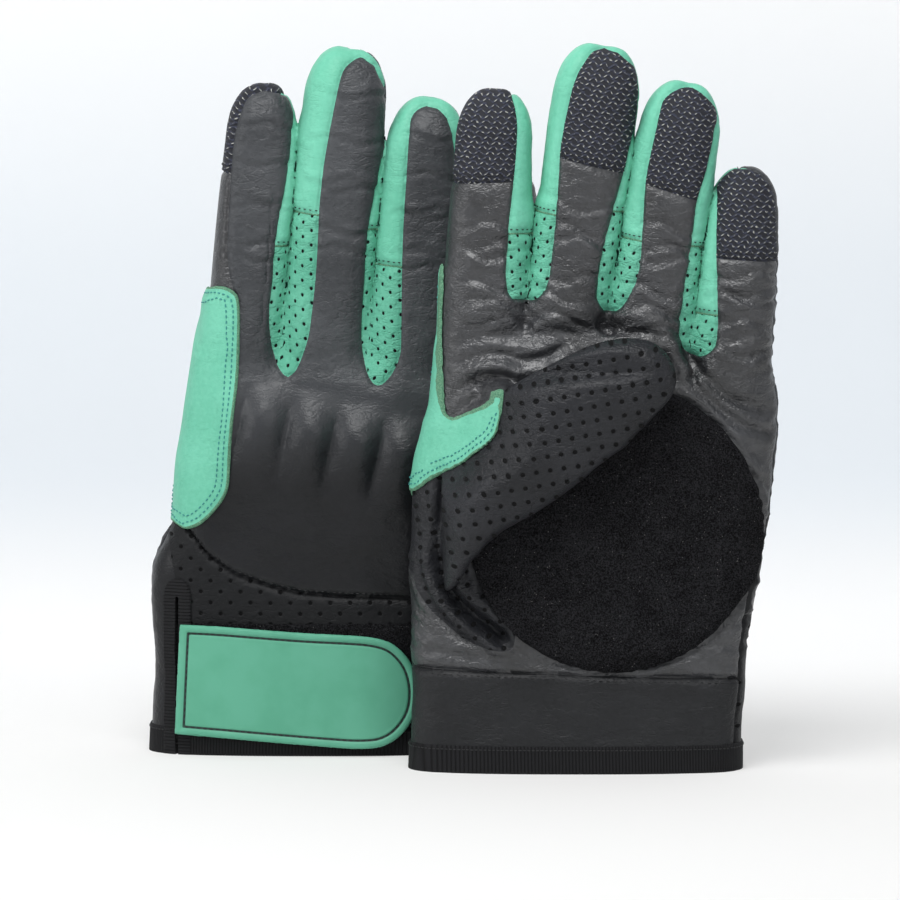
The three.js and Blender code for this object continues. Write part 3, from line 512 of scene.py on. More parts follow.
def measure_seams(glove, sheet):
    """Gives the skin the values whose zero lines are the seams."""
    p = sheet.places
    x, y, z = p.T
    fields = np.stack([finger.field(p) for finger in glove.fingers])
    owner = np.argmin(fields, 0)
    local = [finger.local(p) for finger in glove.fingers]
    flat = [np.stack([u, s], 1) for s, u in local]
    index_s, index_u = local[0]
    seam_depth = SIDE_SEAM_DEPTH + 5 * (1 - smooth_step((z - 50) / 35))
    side = y + seam_depth * smooth_step((local[3][1] + 3) / 6)
    backs = [line_distance(q, seam_outline(back_seams[f.name], f), True) for f, q in zip(glove.fingers, flat)]
    palms = [line_distance(q, seam_outline(palm_seams[f.name], f), True) for f, q in zip(glove.fingers, flat)]
    back, palm = np.max(backs, 0), np.max(palms, 0)
    wrap = np.minimum(-np.where(index_s < 0, back, backs[0]), np.maximum(5.5 - index_u, -side))
    thumb_side = (side >= 0) & (index_u < 6)
    values = {
        "back": np.minimum(back, side),
        "palm": np.where(thumb_side, wrap, np.minimum(palm, np.where(index_u < -6, 40, -side))),
        "parting": glove.parting(p) - PARTING_LIFT,
    }
    for k, pair in enumerate(("valley_1", "valley_2", "valley_3")):
        values[pair] = fields[k] - fields[k + 1]
    along = np.choose(owner, [s for s, _ in local])
    across = np.choose(owner, [u for _, u in local])
    pads = [pad_heights[f.name][0] * f.length / palm_seams[f.name][2] + pad_heights[f.name][1] * u
            for f, (_, u) in zip(glove.fingers, local)]
    values["pad"] = along - np.choose(owner, pads)
    strips = [np.where(u < 0, *strip_heights[glove.side][f.name]) for f, (_, u) in zip(glove.fingers, local)]
    values["strip"] = along - np.choose(owner, strips)
    values["back_seam"] = z - back_seam_height(x)
    values["palm_seam"] = z - 34 + x / 31
    values["along"], values["across"], values["base"] = along, across, p.copy()
    half = np.choose(owner, [f.half_width(s) for f, (s, _) in zip(glove.fingers, local)])
    values["around"] = y + np.sign(y) * (half - np.abs(across)) * smooth_step(np.abs(y) / 4)
    return Sheet(p, sheet.triangles, values)


# Folds, wrinkles and the sewn edges
# The leather is soft: four knuckle cups of the guard push it out at the back, the fingers crease
# across, and the palm folds where the thumb lies over it. Every seam is drawn in by its thread.

GUARD_X, GUARD_Z, BUMP_PITCH = 8.5, 113, 16.5
GUARD_TILT = math.radians(12)
BACK_CREASES = (0.2, 0.27, 0.44, 0.47, 0.64, 0.82)         # as shares of a finger's length
PALM_CREASES = (-0.03, 0.05, 0.13, 0.27, 0.31, 0.4)
SEAM_DEPTH, SEAM_REACH = 0.7, 0.75
CUFF_LAP, CUFF_GROOVE = 0.7, 0.9
PUCK_X, PUCK_Z, PUCK_RADIUS = 12.5, 85, 50

palm_folds = [            # points of each fold, its depth and half its width
    ([(-50, 149), (-34, 150), (-18, 151), (0, 151.5), (16, 151)], 2.0, 3.6),
    ([(-45, 138), (-36, 143), (-26, 144), (-16, 142), (-6, 146)], 1.7, 1.6),
    ([(-46, 129), (-38, 134), (-31, 137), (-24, 136)], 1.7, 1.4),
    ([(-45, 121), (-39, 126), (-32, 129)], 1.2, 1.2),
    ([(14, 153), (26, 151), (38, 150)], 1.0, 1.4),
    ([(36, 146), (44, 136), (52, 129), (63, 125)], 1.2, 1.5),
    ([(38, 136), (46, 128), (56, 120), (64, 117)], 1.0, 1.3),
    ([(50, 112), (58, 104), (64, 98)], 0.8, 1.2),
    ([(-47, 104), (-46.5, 94), (-48.2, 84), (-48.6, 76), (-46.5, 67), (-42, 60), (-35, 54), (-26, 48)],
     4.2, 1.9),
    ([(-53.5, 92), (-54, 80), (-53, 68), (-49, 58), (-42, 49), (-32, 43)], 1.3, 1.3),
    ([(-34, 50), (-16, 41), (6, 36.5), (28, 38.5), (46, 47), (58, 62)], 1.0, 1.8),
    ([(-50, 42), (-30, 39.5), (-8, 37)], 0.7, 1.2),
]


patch_palm = rounded_line([
    (-80.6, 92.4), (-57, 95.6), (-49, 101.5), (-38.4, 107.5), (-28.5, 116), (-26, 123), (-25.2, 132.6),
    (-29.2, 132.6), (-30.2, 129.4), (-33, 127), (-37.5, 124.8), (-42, 122.6), (-44.4, 123.4), (-45.4, 128),
    (-46, 143), (-46, 160), (-45.6, 168), (-47, 175.5), (-80.6, 176)])


def under_patch(glove, x, z):
    """Distance inside the outline of the thumb-side patch, where it lies on the palm."""
    moved = glove.left(z) - gloves["left"].left(z)
    return line_distance(np.stack([x - moved, z], 1), patch_palm, True)


def root_rise(glove, x, z):
    """How far the thumb's root stands out from the palm near the patch."""
    return 10.5 * smooth_step((x - glove.left(z) - 7) / 17) * smooth_step((140 - z) / 8)


def thumb_lift(glove, x, z):
    """How far the thumb's root pushes the palm out under the patch."""
    return root_rise(glove, x, z) * smooth_step((under_patch(glove, x, z) + 4.5) / 5)


def in_puck(glove, places):
    """Distance inside the circle of the loop disc."""
    return PUCK_RADIUS - np.hypot(places[:, 0] - PUCK_X - glove.shift, places[:, 2] - PUCK_Z)


def hump(away, half):
    """1 at the middle of a rounded ridge, falling off over half its width."""
    return np.exp(-(away / half) ** 2)


def noise_at(places, size, seed=0):
    """Soft noise from -1 to 1, with lumps of about the given size."""
    shift = Vector((seed, seed * 1.7, seed * 2.3))
    return np.array([noise.noise(Vector(p) + shift) for p in places / size])


def relief(glove, places):
    """How far the leather stands out from the smooth skin."""
    x, y, z = places.T
    back = smooth_step((y + 4) / 8)
    palm = 1 - back
    c, sine = math.cos(GUARD_TILT), math.sin(GUARD_TILT)
    along = (x - GUARD_X) * c - (z - GUARD_Z) * sine
    up = (x - GUARD_X) * sine + (z - GUARD_Z) * c
    block = smooth_step((up + 46) / 42) * (1 - smooth_step((up + 3) / 17))
    block = block * smooth_step((43 - np.abs(along)) / 11)
    wave = np.abs(np.sin(np.pi * (along / BUMP_PITCH))) ** 0.8
    out = back * block * (3.2 + 4.2 * (1 - smooth_step((-up - 7) / 24)) * (wave - 0.3))
    for finger in glove.fingers:
        s, u = finger.local(places)
        across = smooth_step((finger.half_width(s) + 1 - np.abs(u)) / 3)
        for k, share in enumerate(BACK_CREASES):
            wave = s - share * finger.length - 1.1 * np.sin(u * 0.33 + k * 2 + finger.x)
            out += back * across * (0.35 * hump(wave - 2, 2) - 0.7 * hump(wave, 0.9))
        for k, share in enumerate(PALM_CREASES):
            wave = s - share * finger.length - 1.8 * np.sin(u * 0.28 + k * 1.7 + finger.x)
            out += palm * across * (0.45 * hump(wave + 2.4, 2.2) - 0.9 * hump(wave, 1.0))
    flat = np.stack([x - glove.shift, z], 1)
    for line, depth, half in palm_folds:
        away = line_distance(flat, rounded_line(line))
        out += palm * depth * (0.45 * hump(away - 2.6 * half, 1.3 * half) - hump(away, half))
    rough = 0.7 * noise_at(places, 17, 3) + 0.16 * noise_at(places * [1, 1, 1.8], 5.5, 11)
    worn = smooth_step(0.5 + 1.6 * noise_at(places, 24, 51))
    ridge = 1 - 2.2 * np.abs(noise_at(places * [0.45, 1, 1.7], 6.5, 23))
    fine = 1 - 2.2 * np.abs(noise_at(places * [0.6, 1, 1.6], 3.0, 29))
    fade = smooth_step((z - 36) / 6) * (1 - 0.6 * smooth_step((z - 172) / 12))
    out += palm * (0.5 * ridge + 0.2 * worn * fine) * fade
    out += palm * 0.7 * hump(-in_puck(glove, places) - 2, 0.9)
    calm = np.maximum(smooth_step((x - glove.left(z) - 4) / 8), 1 - smooth_step((z - 72) / 10))
    calm = calm * (1 - 0.85 * palm * smooth_step((under_patch(glove, x, z) + 3) / 3.5))
    out = (out + rough) * calm * smooth_step((z - 8) / 12)
    return out + palm * thumb_lift(glove, x, z)


gloves = {side: Glove(side) for side in ("right", "left")}


def sewn_skin(glove):
    """The skin with its seams drawn in and its folds, split along every seam."""
    sheet = measure_seams(glove, bare_skin(glove))
    for name in ("back", "palm"):
        sheet.values[name] = true_distance(sheet, sheet.values[name])
    for name in ("back", "palm"):
        for level in (0, 0.8, -0.8):
            sheet = sheet.split(name, level)
    for name in ("valley_1", "valley_2", "valley_3", "parting", "pad", "strip", "back_seam", "palm_seam"):
        sheet = sheet.split(name)
    base, values = sheet.places, sheet.values
    away = np.minimum(np.abs(values["back"]), np.abs(values["palm"]))
    on_back, on_palm = values["back"] > 0.1, values["palm"] > 0.1
    on_strip = ~on_back & ~on_palm
    away = np.where(on_palm & (values["along"] > 0), np.minimum(away, np.abs(values["pad"])), away)
    away = np.where(on_strip, np.minimum(away, np.abs(values["strip"])), away)
    inner = smooth_step((np.abs(base[:, 1]) - 3) / 6)
    away = np.where(on_back, np.minimum(away, np.abs(values["back_seam"]) + 3 * (1 - inner)), away)
    away = np.where(on_palm, np.minimum(away, np.abs(values["palm_seam"])), away)
    bulge = np.where(on_strip, 0.55, 0.12) * smooth_step(away / 4)
    lap = np.where(on_back, values["back_seam"], np.where(on_palm, -values["palm_seam"], -9))
    lap = smooth_step(lap / 0.8) * np.exp(-np.maximum(lap, 0) / 5)
    folds = relief(glove, base) * np.where(on_strip, 0.5, 1)
    upright = normals_of(base, sheet.triangles)
    cover = base + upright * folds[:, None]
    sheet = sheet.given(normal=upright, upright=upright, cover=cover)
    cuff = np.where(on_back, values["back_seam"], np.where(on_palm, values["palm_seam"], 9))
    at_cuff = (CUFF_LAP * lap - CUFF_GROOVE * hump(cuff, 1.1)) * inner
    return sheet.raised(folds + bulge + at_cuff - SEAM_DEPTH * hump(away, SEAM_REACH)).smoothed()


def contours(sheet, value, level=0.0):
    """The lines on a sheet where a value has a level, as lists of places and normals."""
    value = value - level
    value = np.where(np.abs(value) < 1e-5, 1e-5, value)
    up = value > 0
    links = {}
    for a, b, c in sheet.triangles[(up[sheet.triangles].sum(1) % 3) != 0].tolist():
        ends = [(min(p, q), max(p, q)) for p, q in ((a, b), (b, c), (c, a)) if up[p] != up[q]]
        links.setdefault(ends[0], []).append(ends[1])
        links.setdefault(ends[1], []).append(ends[0])
    lines, seen = [], set()
    for start in sorted(links, key=lambda key: len(links[key])):
        if start in seen:
            continue
        line = [start]
        seen.add(start)
        while True:
            onward = [key for key in links[line[-1]] if key not in seen]
            if not onward:
                break
            line.append(onward[0])
            seen.add(onward[0])
        ends = np.array(line)
        share = (value[ends[:, 0]] / (value[ends[:, 0]] - value[ends[:, 1]]))[:, None]
        lines.append(tuple(array[ends[:, 0]] * (1 - share) + array[ends[:, 1]] * share
                           for array in (sheet.places, sheet.values["normal"])))
    return lines


def stitches(lines, pitch, length, thickness, lift=0.15, keep=None):
    """Short threads that rise out of the leather and dive back, as places, triangles and normals."""
    around, along = 6, 6
    turn = np.arange(around) * 2 * np.pi / around
    share = np.linspace(0, 1, along)
    places, triangles, normals, count = [], [], [], 0
    corner = np.arange(along * around).reshape(along, around)
    onward = np.roll(corner, -1, 1)
    tube = halved(np.stack([corner[:-1], onward[:-1], onward[1:], corner[1:]], -1).reshape(-1, 4))
    for line, upward in lines:
        steps = np.linalg.norm(np.diff(line, axis=0), axis=1)
        reach = np.concatenate([[0], np.cumsum(steps)])
        if reach[-1] < pitch * 1.5:
            continue
        whole = int(reach[-1] / pitch)
        for at in (np.arange(whole) + 0.5) * reach[-1] / whole:
            here = np.stack([np.interp(at + (share - 0.5) * length, reach, line[:, k]) for k in range(3)], 1)
            if keep is not None and not keep(here[along // 2]):
                continue
            up = np.array([np.interp(at, reach, upward[:, k]) for k in range(3)])
            up = up / np.linalg.norm(up)
            ahead = here[-1] - here[0]
            side = np.cross(up, ahead)
            side = side / max(np.linalg.norm(side), 1e-9)
            here = here + up * ((lift + thickness * 0.5) * np.sin(np.pi * share)[:, None] - thickness * 0.35)
            size = thickness / 2 * (0.45 + 0.55 * np.sin(np.pi * share) ** 0.5)
            ring = np.cos(turn)[None, :, None] * side + np.sin(turn)[None, :, None] * up
            places.append((here[:, None] + ring * size[:, None, None]).reshape(-1, 3))
            normals.append(np.broadcast_to(ring, (along, around, 3)).reshape(-1, 3))
            triangles.append(tube + count)
            count += along * around
    if not places:
        return None
    sheet = Sheet(np.vstack(places), np.vstack(triangles))
    return sheet.given(normal=np.vstack(normals))


def build(name, glove, sheet, material, thickness=1.2, pattern=None):
    """Makes a piece with a wall from a sheet: its outside, its inside and the rim between them."""
    outer, normals, tri = sheet.places, sheet.values["normal"], sheet.triangles
    if thickness:
        count = len(outer)
        ends = np.vstack([tri[:, [0, 1]], tri[:, [1, 2]], tri[:, [2, 0]]])
        key = ends[:, 0].astype(np.int64) * count + ends[:, 1]
        rim = ends[~np.isin(key, ends[:, 1].astype(np.int64) * count + ends[:, 0])]
        a, b = rim.T
        outward = np.cross(outer[b] - outer[a], normals[a])
        outward = outward / np.maximum(np.linalg.norm(outward, axis=1, keepdims=True), 1e-9)
        places = np.vstack([outer, outer - normals * thickness])
        triangles = np.vstack([tri, tri[:, ::-1] + count, np.stack([a, a + count, b + count], 1),
                               np.stack([a, b + count, b], 1)])
        loops = np.concatenate([normals[tri].reshape(-1, 3), -normals[tri[:, ::-1]].reshape(-1, 3),
                                np.repeat(outward, 3, 0), np.repeat(outward, 3, 0)])
    else:
        places, triangles, loops = outer, tri, normals[tri].reshape(-1, 3)
    loops = loops * [1, glove.sign, 1]
    if glove.sign < 0:
        triangles = triangles[:, ::-1]
        loops = loops.reshape(-1, 3, 3)[:, ::-1].reshape(-1, 3)
    mesh = bpy.data.meshes.new(name)
    mesh.vertices.add(len(places))
    mesh.vertices.foreach_set("co", glove.world(places).astype(np.float32).ravel())
    mesh.loops.add(len(triangles) * 3)
    mesh.loops.foreach_set("vertex_index", triangles.astype(np.int32).ravel())
    mesh.polygons.add(len(triangles))
    mesh.polygons.foreach_set("loop_start", np.arange(0, len(triangles) * 3, 3, dtype=np.int32))
    mesh.polygons.foreach_set("use_smooth", np.ones(len(triangles), bool))
    if pattern is not None:
        spots = np.vstack([pattern, pattern]) if thickness else pattern
        layer = mesh.uv_layers.new(name="pattern")
        layer.data.foreach_set("uv", spots[triangles].astype(np.float32).ravel())
    mesh.update(calc_edges=True)
    mesh.validate()
    if len(mesh.loops) == len(loops):
        mesh.normals_split_custom_set(loops.astype(np.float32))
    piece = bpy.data.objects.new(f"{glove.side}_{name}", mesh)
    bpy.context.scene.collection.objects.link(piece)
    mesh.materials.append(material)
    return piece


# Finishes
# Goatskin with its grain and fine creases, the same skin punched with holes, dyed mint leather,
# the knitted fabric of the fingertips, loop pile, moulded rubber, ribbed tape and thread.

def operator(operation):
    """A method that joins a wire and another value by a Math node."""
    return lambda self, other: self.maths(operation, other)


class Wire:
    """A shader socket that can be added, multiplied and compared like a number."""

    def __init__(self, finish, socket):
        self.finish, self.socket = finish, socket

    def maths(self, operation, *others):
        node = self.finish.tree.nodes.new("ShaderNodeMath")
        node.operation = operation
        for place, value in zip(node.inputs, (self, *others)):
            self.finish.put(place, value)
        return Wire(self.finish, node.outputs[0])

    __add__ = __radd__ = operator("ADD")
    __mul__ = __rmul__ = operator("MULTIPLY")
    __sub__, __truediv__, __pow__ = operator("SUBTRACT"), operator("DIVIDE"), operator("POWER")
    least, most = operator("MINIMUM"), operator("MAXIMUM")

    def __rsub__(self, other):
        return (self * -1) + other

    def fraction(self):
        return self.maths("FRACT")

    def step(self, low, high):
        """0 below low, 1 above high and smooth between them."""
        return self.finish.node("MapRange", {"interpolation_type": "SMOOTHSTEP"},
                                {"Value": self, "From Min": low, "From Max": high})


def colour(red, green, blue):
    """A colour as it is seen on a screen, from 0 to 255, in the linear values that shaders take."""
    shares = [v / 255 for v in (red, green, blue)]
    return (*((v / 12.92) if v < 0.0404 else ((v + 0.055) / 1.055) ** 2.4 for v in shares), 1)


class Finish:
    """A material with a principled shader, whose sockets take plain values or wires."""

    def __init__(self, name):
        self.material = bpy.data.materials.new(name)
        self.material.use_nodes = True
        self.tree = self.material.node_tree
        self.shader = self.tree.nodes["Principled BSDF"]

    def put(self, socket, value):
        if isinstance(value, Wire):
            self.tree.links.new(value.socket, socket)
        else:
            socket.default_value = value

    def node(self, kind, settings=None, inputs=None, output=0):
        made = self.tree.nodes.new(f"ShaderNode{kind}")
        for key, value in (settings or {}).items():
            setattr(made, key, value)
        for key, value in (inputs or {}).items():
            self.put(made.inputs[key], value)
        return Wire(self, made.outputs[output])

    def set(self, **sockets):
        for key, value in sockets.items():
            self.put(self.shader.inputs[key.replace("_", " ")], value)
        return self

    def place(self):
        return self.node("TexCoord", output="Object")

    def pattern(self):
        """The piece's own pattern coordinates, in millimetres."""
        both = self.node("SeparateXYZ", inputs={0: self.node("UVMap", {"uv_map": "pattern"})})
        return both, Wire(self, both.socket.node.outputs[1])

    def noise(self, size, detail=3.0, roughness=0.5, squeeze=(1, 1, 1), seed=0.0):
        """Noise from 0 to 1 with lumps of about the given size in millimetres."""
        place = self.node("Mapping", inputs={"Vector": self.place(), "Location": (seed, seed, seed),
                                             "Scale": squeeze})
        return self.node("TexNoise", inputs={"Vector": place, "Scale": 1 / (size * MM), "Detail": detail,
                                             "Roughness": roughness})

    def cells(self, size, feature="F1", squeeze=(1, 1, 1)):
        place = self.node("Mapping", inputs={"Vector": self.place(), "Scale": squeeze})
        return self.node("TexVoronoi", {"feature": feature}, {"Vector": place, "Scale": 1 / (size * MM)})

    def mix(self, share, one, two):
        made = self.tree.nodes.new("ShaderNodeMix")
        made.data_type = "RGBA"
        self.put(made.inputs["Factor"], share)
        self.put(made.inputs[6], one)
        self.put(made.inputs[7], two)
        return Wire(self, made.outputs[2])

    def bump(self, height, depth):
        """Relief of the given depth in millimetres where height goes from 0 to 1."""
        made = self.node("Bump", inputs={"Height": height, "Strength": 1.0, "Distance": depth * MM})
        return self.set(Normal=made)


def holes(finish, pitch_u, pitch_v, size, slant=0.0):
    """A staggered grid of round holes: 1 in a hole and 0 on the leather."""
    u, v = finish.pattern()
    u = u + v * slant
    found = None
    for half in (0.0, 0.5):
        du = ((u / pitch_u + half).fraction() - 0.5) * pitch_u
        dv = ((v / pitch_v + half).fraction() - 0.5) * pitch_v
        away = (du * du + dv * dv) ** 0.5
        found = away if found is None else found.least(away)
    return found.step(size * 0.58, size * 0.44), found.step(size * 0.85, size * 0.55)


def leather(name, dark, light, gloss=0.42, grain=0.1, crease=0.22, punched=None, shine=0.3, lit_above_painted=None):
    """Goatskin: pebbled grain, fine creases and a soft shine that varies."""
    finish = Finish(name)
    pebbles = finish.cells(0.75, "SMOOTH_F1")
    creases = finish.noise(7, 4, 0.6, (1, 1, 1.6)).step(0.42, 0.58)
    cloud = finish.noise(22, 3)
    tone = finish.noise(1.6, 2) * 0.35 + cloud * 0.65
    base = finish.mix(tone.step(0.3, 0.7), dark, light)
    # Above a given height the colour turns lighter: painted light, standing for the overhead light that the
    # knuckle domes catch.
    if lit_above_painted:
        height = finish.node("SeparateXYZ", inputs={0: finish.place()}, output=2)
        painted_light_tone = finish.mix(tone, colour(50, 51, 54), colour(64, 66, 69))
        base = finish.mix(height.step(*lit_above_painted), base, painted_light_tone)
    rough = gloss + finish.noise(3, 3) * 0.16 + cloud * 0.06
    cracks = finish.cells(3.4, "DISTANCE_TO_EDGE", (0.7, 1, 1.5)).step(0.0, 0.14)
    small = finish.cells(1.5, "DISTANCE_TO_EDGE", (0.8, 1, 1.3)).step(0.0, 0.2)
    worn = finish.noise(14, 3).step(0.4, 0.6)
    height = (1 - pebbles) * grain + creases * crease + finish.noise(0.35, 2) * 0.04
    height = height + (cracks * 0.6 + small * 0.3) * worn * crease
    if punched:
        hole, lip = holes(finish, *punched)
        base = finish.mix(hole, base, colour(4, 4, 5))
        rough = rough + hole * 0.5
        height = height - hole * 1.2 - lip * 0.2
    finish.set(Base_Color=base, Roughness=rough)
    finish.shader.inputs["Specular IOR Level"].default_value = shine
    return finish.bump(height, 0.6).material


def thread(name, shade):
    finish = Finish(name)
    twist = finish.noise(0.35, 2, 0.6)
    finish.set(Base_Color=finish.mix(twist, tuple(0.6 * v for v in shade[:3]) + (1,), shade), Roughness=0.6)
    return finish.bump(twist, 0.12).material


def pile_finish():
    """Loop pile: a dense dark fuzz in which single loops catch the light."""
    finish = Finish("loop_pile")
    loops = finish.cells(0.8)
    tufts = finish.noise(0.55, 3, 0.7)
    patches = finish.noise(9, 3)
    fuzz = (tufts * 0.85 + patches * 0.15).step(0.35, 0.7)
    shade = finish.mix(fuzz, colour(10, 10, 11), colour(58, 58, 61))
    specks = (1 - finish.cells(1.5)).step(0.86, 0.93) * finish.noise(2.2, 2).step(0.5, 0.58)
    finish.set(Base_Color=finish.mix(specks, shade, colour(120, 118, 116)), Roughness=0.95)
    finish.shader.inputs["Specular IOR Level"].default_value = 0.05
    return finish.bump((1 - loops) * 0.5 + tufts * 1.4, 1.6).material


KNIT_ROW, KNIT_COLUMN = 1.75, 1.9


def tip_finish():
    """Aramid knit: navy loops in diagonal rows with cream dashes between them."""
    finish = Finish("tip_fabric")
    u, v = finish.pattern()
    wander = finish.noise(1.4, 2) - 0.5
    row = v / KNIT_ROW + wander * 0.5
    column = u / KNIT_COLUMN + row.maths("FLOOR") * 0.5 + wander * 0.6
    turn = ((row.maths("FLOOR") + column.maths("FLOOR")) * 0.5).fraction() * 4 - 1
    across, up = (column.fraction() - 0.5) * KNIT_COLUMN, (row.fraction() - 0.5) * KNIT_ROW
    along, aside = across * 0.8 + up * turn * 0.6, up * 0.8 - across * turn * 0.6
    dash = (along * along * 1.9 + aside * aside * 18).step(0.8, 0.3)
    dash = dash * finish.noise(1.3, 2, 0.5, seed=3.0).step(0.3, 0.58)
    cord = aside.maths("ABSOLUTE").step(0.55, 0.1)
    base = finish.mix(cord, colour(18, 20, 29), colour(42, 46, 63))
    base = finish.mix(dash, base, colour(165, 166, 158))
    finish.set(Base_Color=base, Roughness=0.75)
    return finish.bump(cord * 0.7 + dash * 0.5 + finish.noise(0.3, 2) * 0.3, 0.55).material


GROOVE_INSET = 2.9        # of the stitched groove from the strap's edge


def rubber_finish():
    """Moulded rubber: matt, very finely frosted, with faint clouding."""
    finish = Finish("strap_rubber")
    frost = finish.noise(0.3, 3, 0.6)
    cloud = finish.noise(14, 3)
    inset = finish.pattern()[0]
    # The groove inside the rim is coloured dark green: painted shade in the groove.
    groove = (inset - GROOVE_INSET).maths("ABSOLUTE").step(0.55, 0.3)
    shade = finish.mix(cloud.step(0.3, 0.7), colour(80, 156, 127), colour(88, 163, 135))
    finish.set(Base_Color=finish.mix(groove, shade, colour(24, 62, 52)), Roughness=0.5 + frost * 0.12)
    return finish.bump(frost * 0.3 + finish.noise(5, 2) * 0.5, 0.12).material


RIB_PITCH = 1.15


def tape_finish():
    """Ribbed binding tape, its ribs running across it."""
    finish = Finish("edge_tape")
    rib = (finish.pattern()[0] / RIB_PITCH).fraction() - 0.5
    rib = (rib * rib * 4).step(1.0, 0.1)
    fuzz = finish.noise(0.4, 3, 0.6)
    shade = finish.mix(rib * 0.7 + fuzz * 0.3, colour(9, 9, 10), colour(30, 30, 32))
    finish.set(Base_Color=shade, Roughness=0.8)
    finish.shader.inputs["Specular IOR Level"].default_value = 0.2
    return finish.bump(rib * 0.7 + fuzz * 0.3, 0.45).material


def plain_finish(name, dark, light, rough, size, depth):
    finish = Finish(name)
    lumps = finish.noise(size, 3, 0.6)
    finish.set(Base_Color=finish.mix(lumps.step(0.3, 0.7), dark, light), Roughness=rough + lumps * 0.1)
    return finish.bump(lumps, depth).material


# Over the knuckles the back leather is coloured lighter: painted light where the domes catch the light from
# above.
back_black = leather("back_leather", colour(15, 16, 18), colour(22, 23, 26), gloss=0.3, grain=0.08,
                     crease=0.12, lit_above_painted=(0.092, 0.13))
# The finger backs are the same black goatskin, coloured lighter: painted light, standing for the overhead
# light that the fingers catch.
finger_leather_painted_light = leather("finger_back_leather", colour(48, 50, 53), colour(66, 68, 71), gloss=0.38,
                       grain=0.12, crease=0.25, shine=0.4)
palm_black = leather("palm_leather", colour(24, 25, 27), colour(52, 53, 56), gloss=0.3, grain=0.12,
                     crease=0.3, shine=0.75)
band_black = leather("band_leather", colour(22, 23, 25), colour(32, 33, 35), gloss=0.4, grain=0.12,
                     crease=0.25)
cuff_black = leather("punched_cuff_leather", colour(14, 15, 17), colour(22, 23, 25), gloss=0.44, grain=0.1,
                     crease=0.2, punched=(6.9, 7.6, 1.3), shine=0.22)
thumb_black = leather("punched_thumb_leather", colour(24, 25, 28), colour(38, 39, 43), gloss=0.38,
                      grain=0.12, crease=0.35, punched=(6.6, 6.6, 1.5))
mint_plain = leather("mint_leather", colour(96, 176, 148), colour(110, 189, 162), grain=0.06, crease=0.14)
mint_punched = leather("punched_mint_leather", colour(80, 158, 131), colour(97, 174, 147), grain=0.06,
                       crease=0.4, punched=(7.6, 5, 1.15, 0.12))
dark_thread = thread("dark_thread", colour(24, 25, 27))
teal_thread = thread("teal_thread", colour(58, 150, 146))
pile = pile_finish()
knit = tip_finish()
rubber = rubber_finish()
tape = tape_finish()
raw_edge = plain_finish("raw_leather_edge", colour(66, 118, 92), colour(108, 152, 122), 0.9, 0.5, 0.4)
hook_plastic = plain_finish("hook_tape", colour(18, 18, 20), colour(44, 44, 47), 0.6, 0.7, 0.8)
guard_plastic = plain_finish("guard_plastic", colour(26, 28, 31), colour(34, 36, 39), 0.4, 3, 0.1)


# The leather panels
# Back, palm, cuff and finger panels of thin goatskin, cut from one skin along its seams.

BEND_START, BEND_END = -1.0, 22.0


def bend(piece, glove, finger):
    """Bakes the panel's transform. The ends of the span where it would turn with the finger, from the sloping
    parting face on, are worked out but not used.
    """
    slope = KNUCKLE_DROP / (2 * PIVOT_DEPTH)
    normal = np.array([math.sin(finger.lean), slope, math.cos(finger.lean)])
    crease = np.array([[finger.x, -PIVOT_DEPTH, finger.crease]])
    start, end = (tuple(glove.world(crease + normal * reach / (normal @ normal))[0])
                  for reach in (BEND_START, BEND_END))
    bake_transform(piece)


def panel(glove, sheet, name, material, nodes, finger=None, pattern=None, thickness=1.2):
    """One panel on the hand or, given a finger, on that finger."""
    piece = build(name, glove, sheet, material, thickness, pattern)
    if finger is None:
        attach(piece, f"{glove.side}_hand")
    else:
        bend(piece, glove, finger)
    if nodes:
        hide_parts(*(f"{glove.side}_{node}" for node in nodes))
    return piece


def kept(sheet, *signs):
    """The triangles of a split sheet on the stated sides of the named values."""
    chosen = np.ones(len(sheet.triangles), bool)
    for name, positive in signs:
        mean = sheet.values[name][sheet.triangles].mean(1)
        chosen &= (mean > 0) if positive else (mean <= 0)
    return sheet.picked(chosen)


def leather_faces(skin):
    """The skin's back leather, palm leather and mint leather."""
    rest = kept(skin, ("back", False))
    return kept(skin, ("back", True)), kept(rest, ("palm", True)), kept(rest, ("palm", False))


def signs_of_finger(k):
    """The sides of the skin's values on which the finger of that number lies."""
    signs = [("parting", True)]
    if k:
        signs.append((f"valley_{k}", True))
    if k < 3:
        signs.append((f"valley_{k + 1}", False))
    return signs


def side_strips(glove, mint, finger, own):
    """The mint sides of one finger with the height above the lower end of the smooth strips."""
    sides = kept(mint, *own)
    s, u = finger.local(sides.values["base"])
    return sides.given(strip=s - np.where(u < 0, *strip_heights[glove.side][finger.name]))


root_outline = rounded_line([
    (-75, 71), (-57, 69.7), (-54.1, 62.8), (-50, 55.9), (-44.5, 50.7), (-38.6, 46.2), (-30, 43), (-22, 44),
    (-22, 60), (-28, 90), (-28, 118), (-75, 118)])

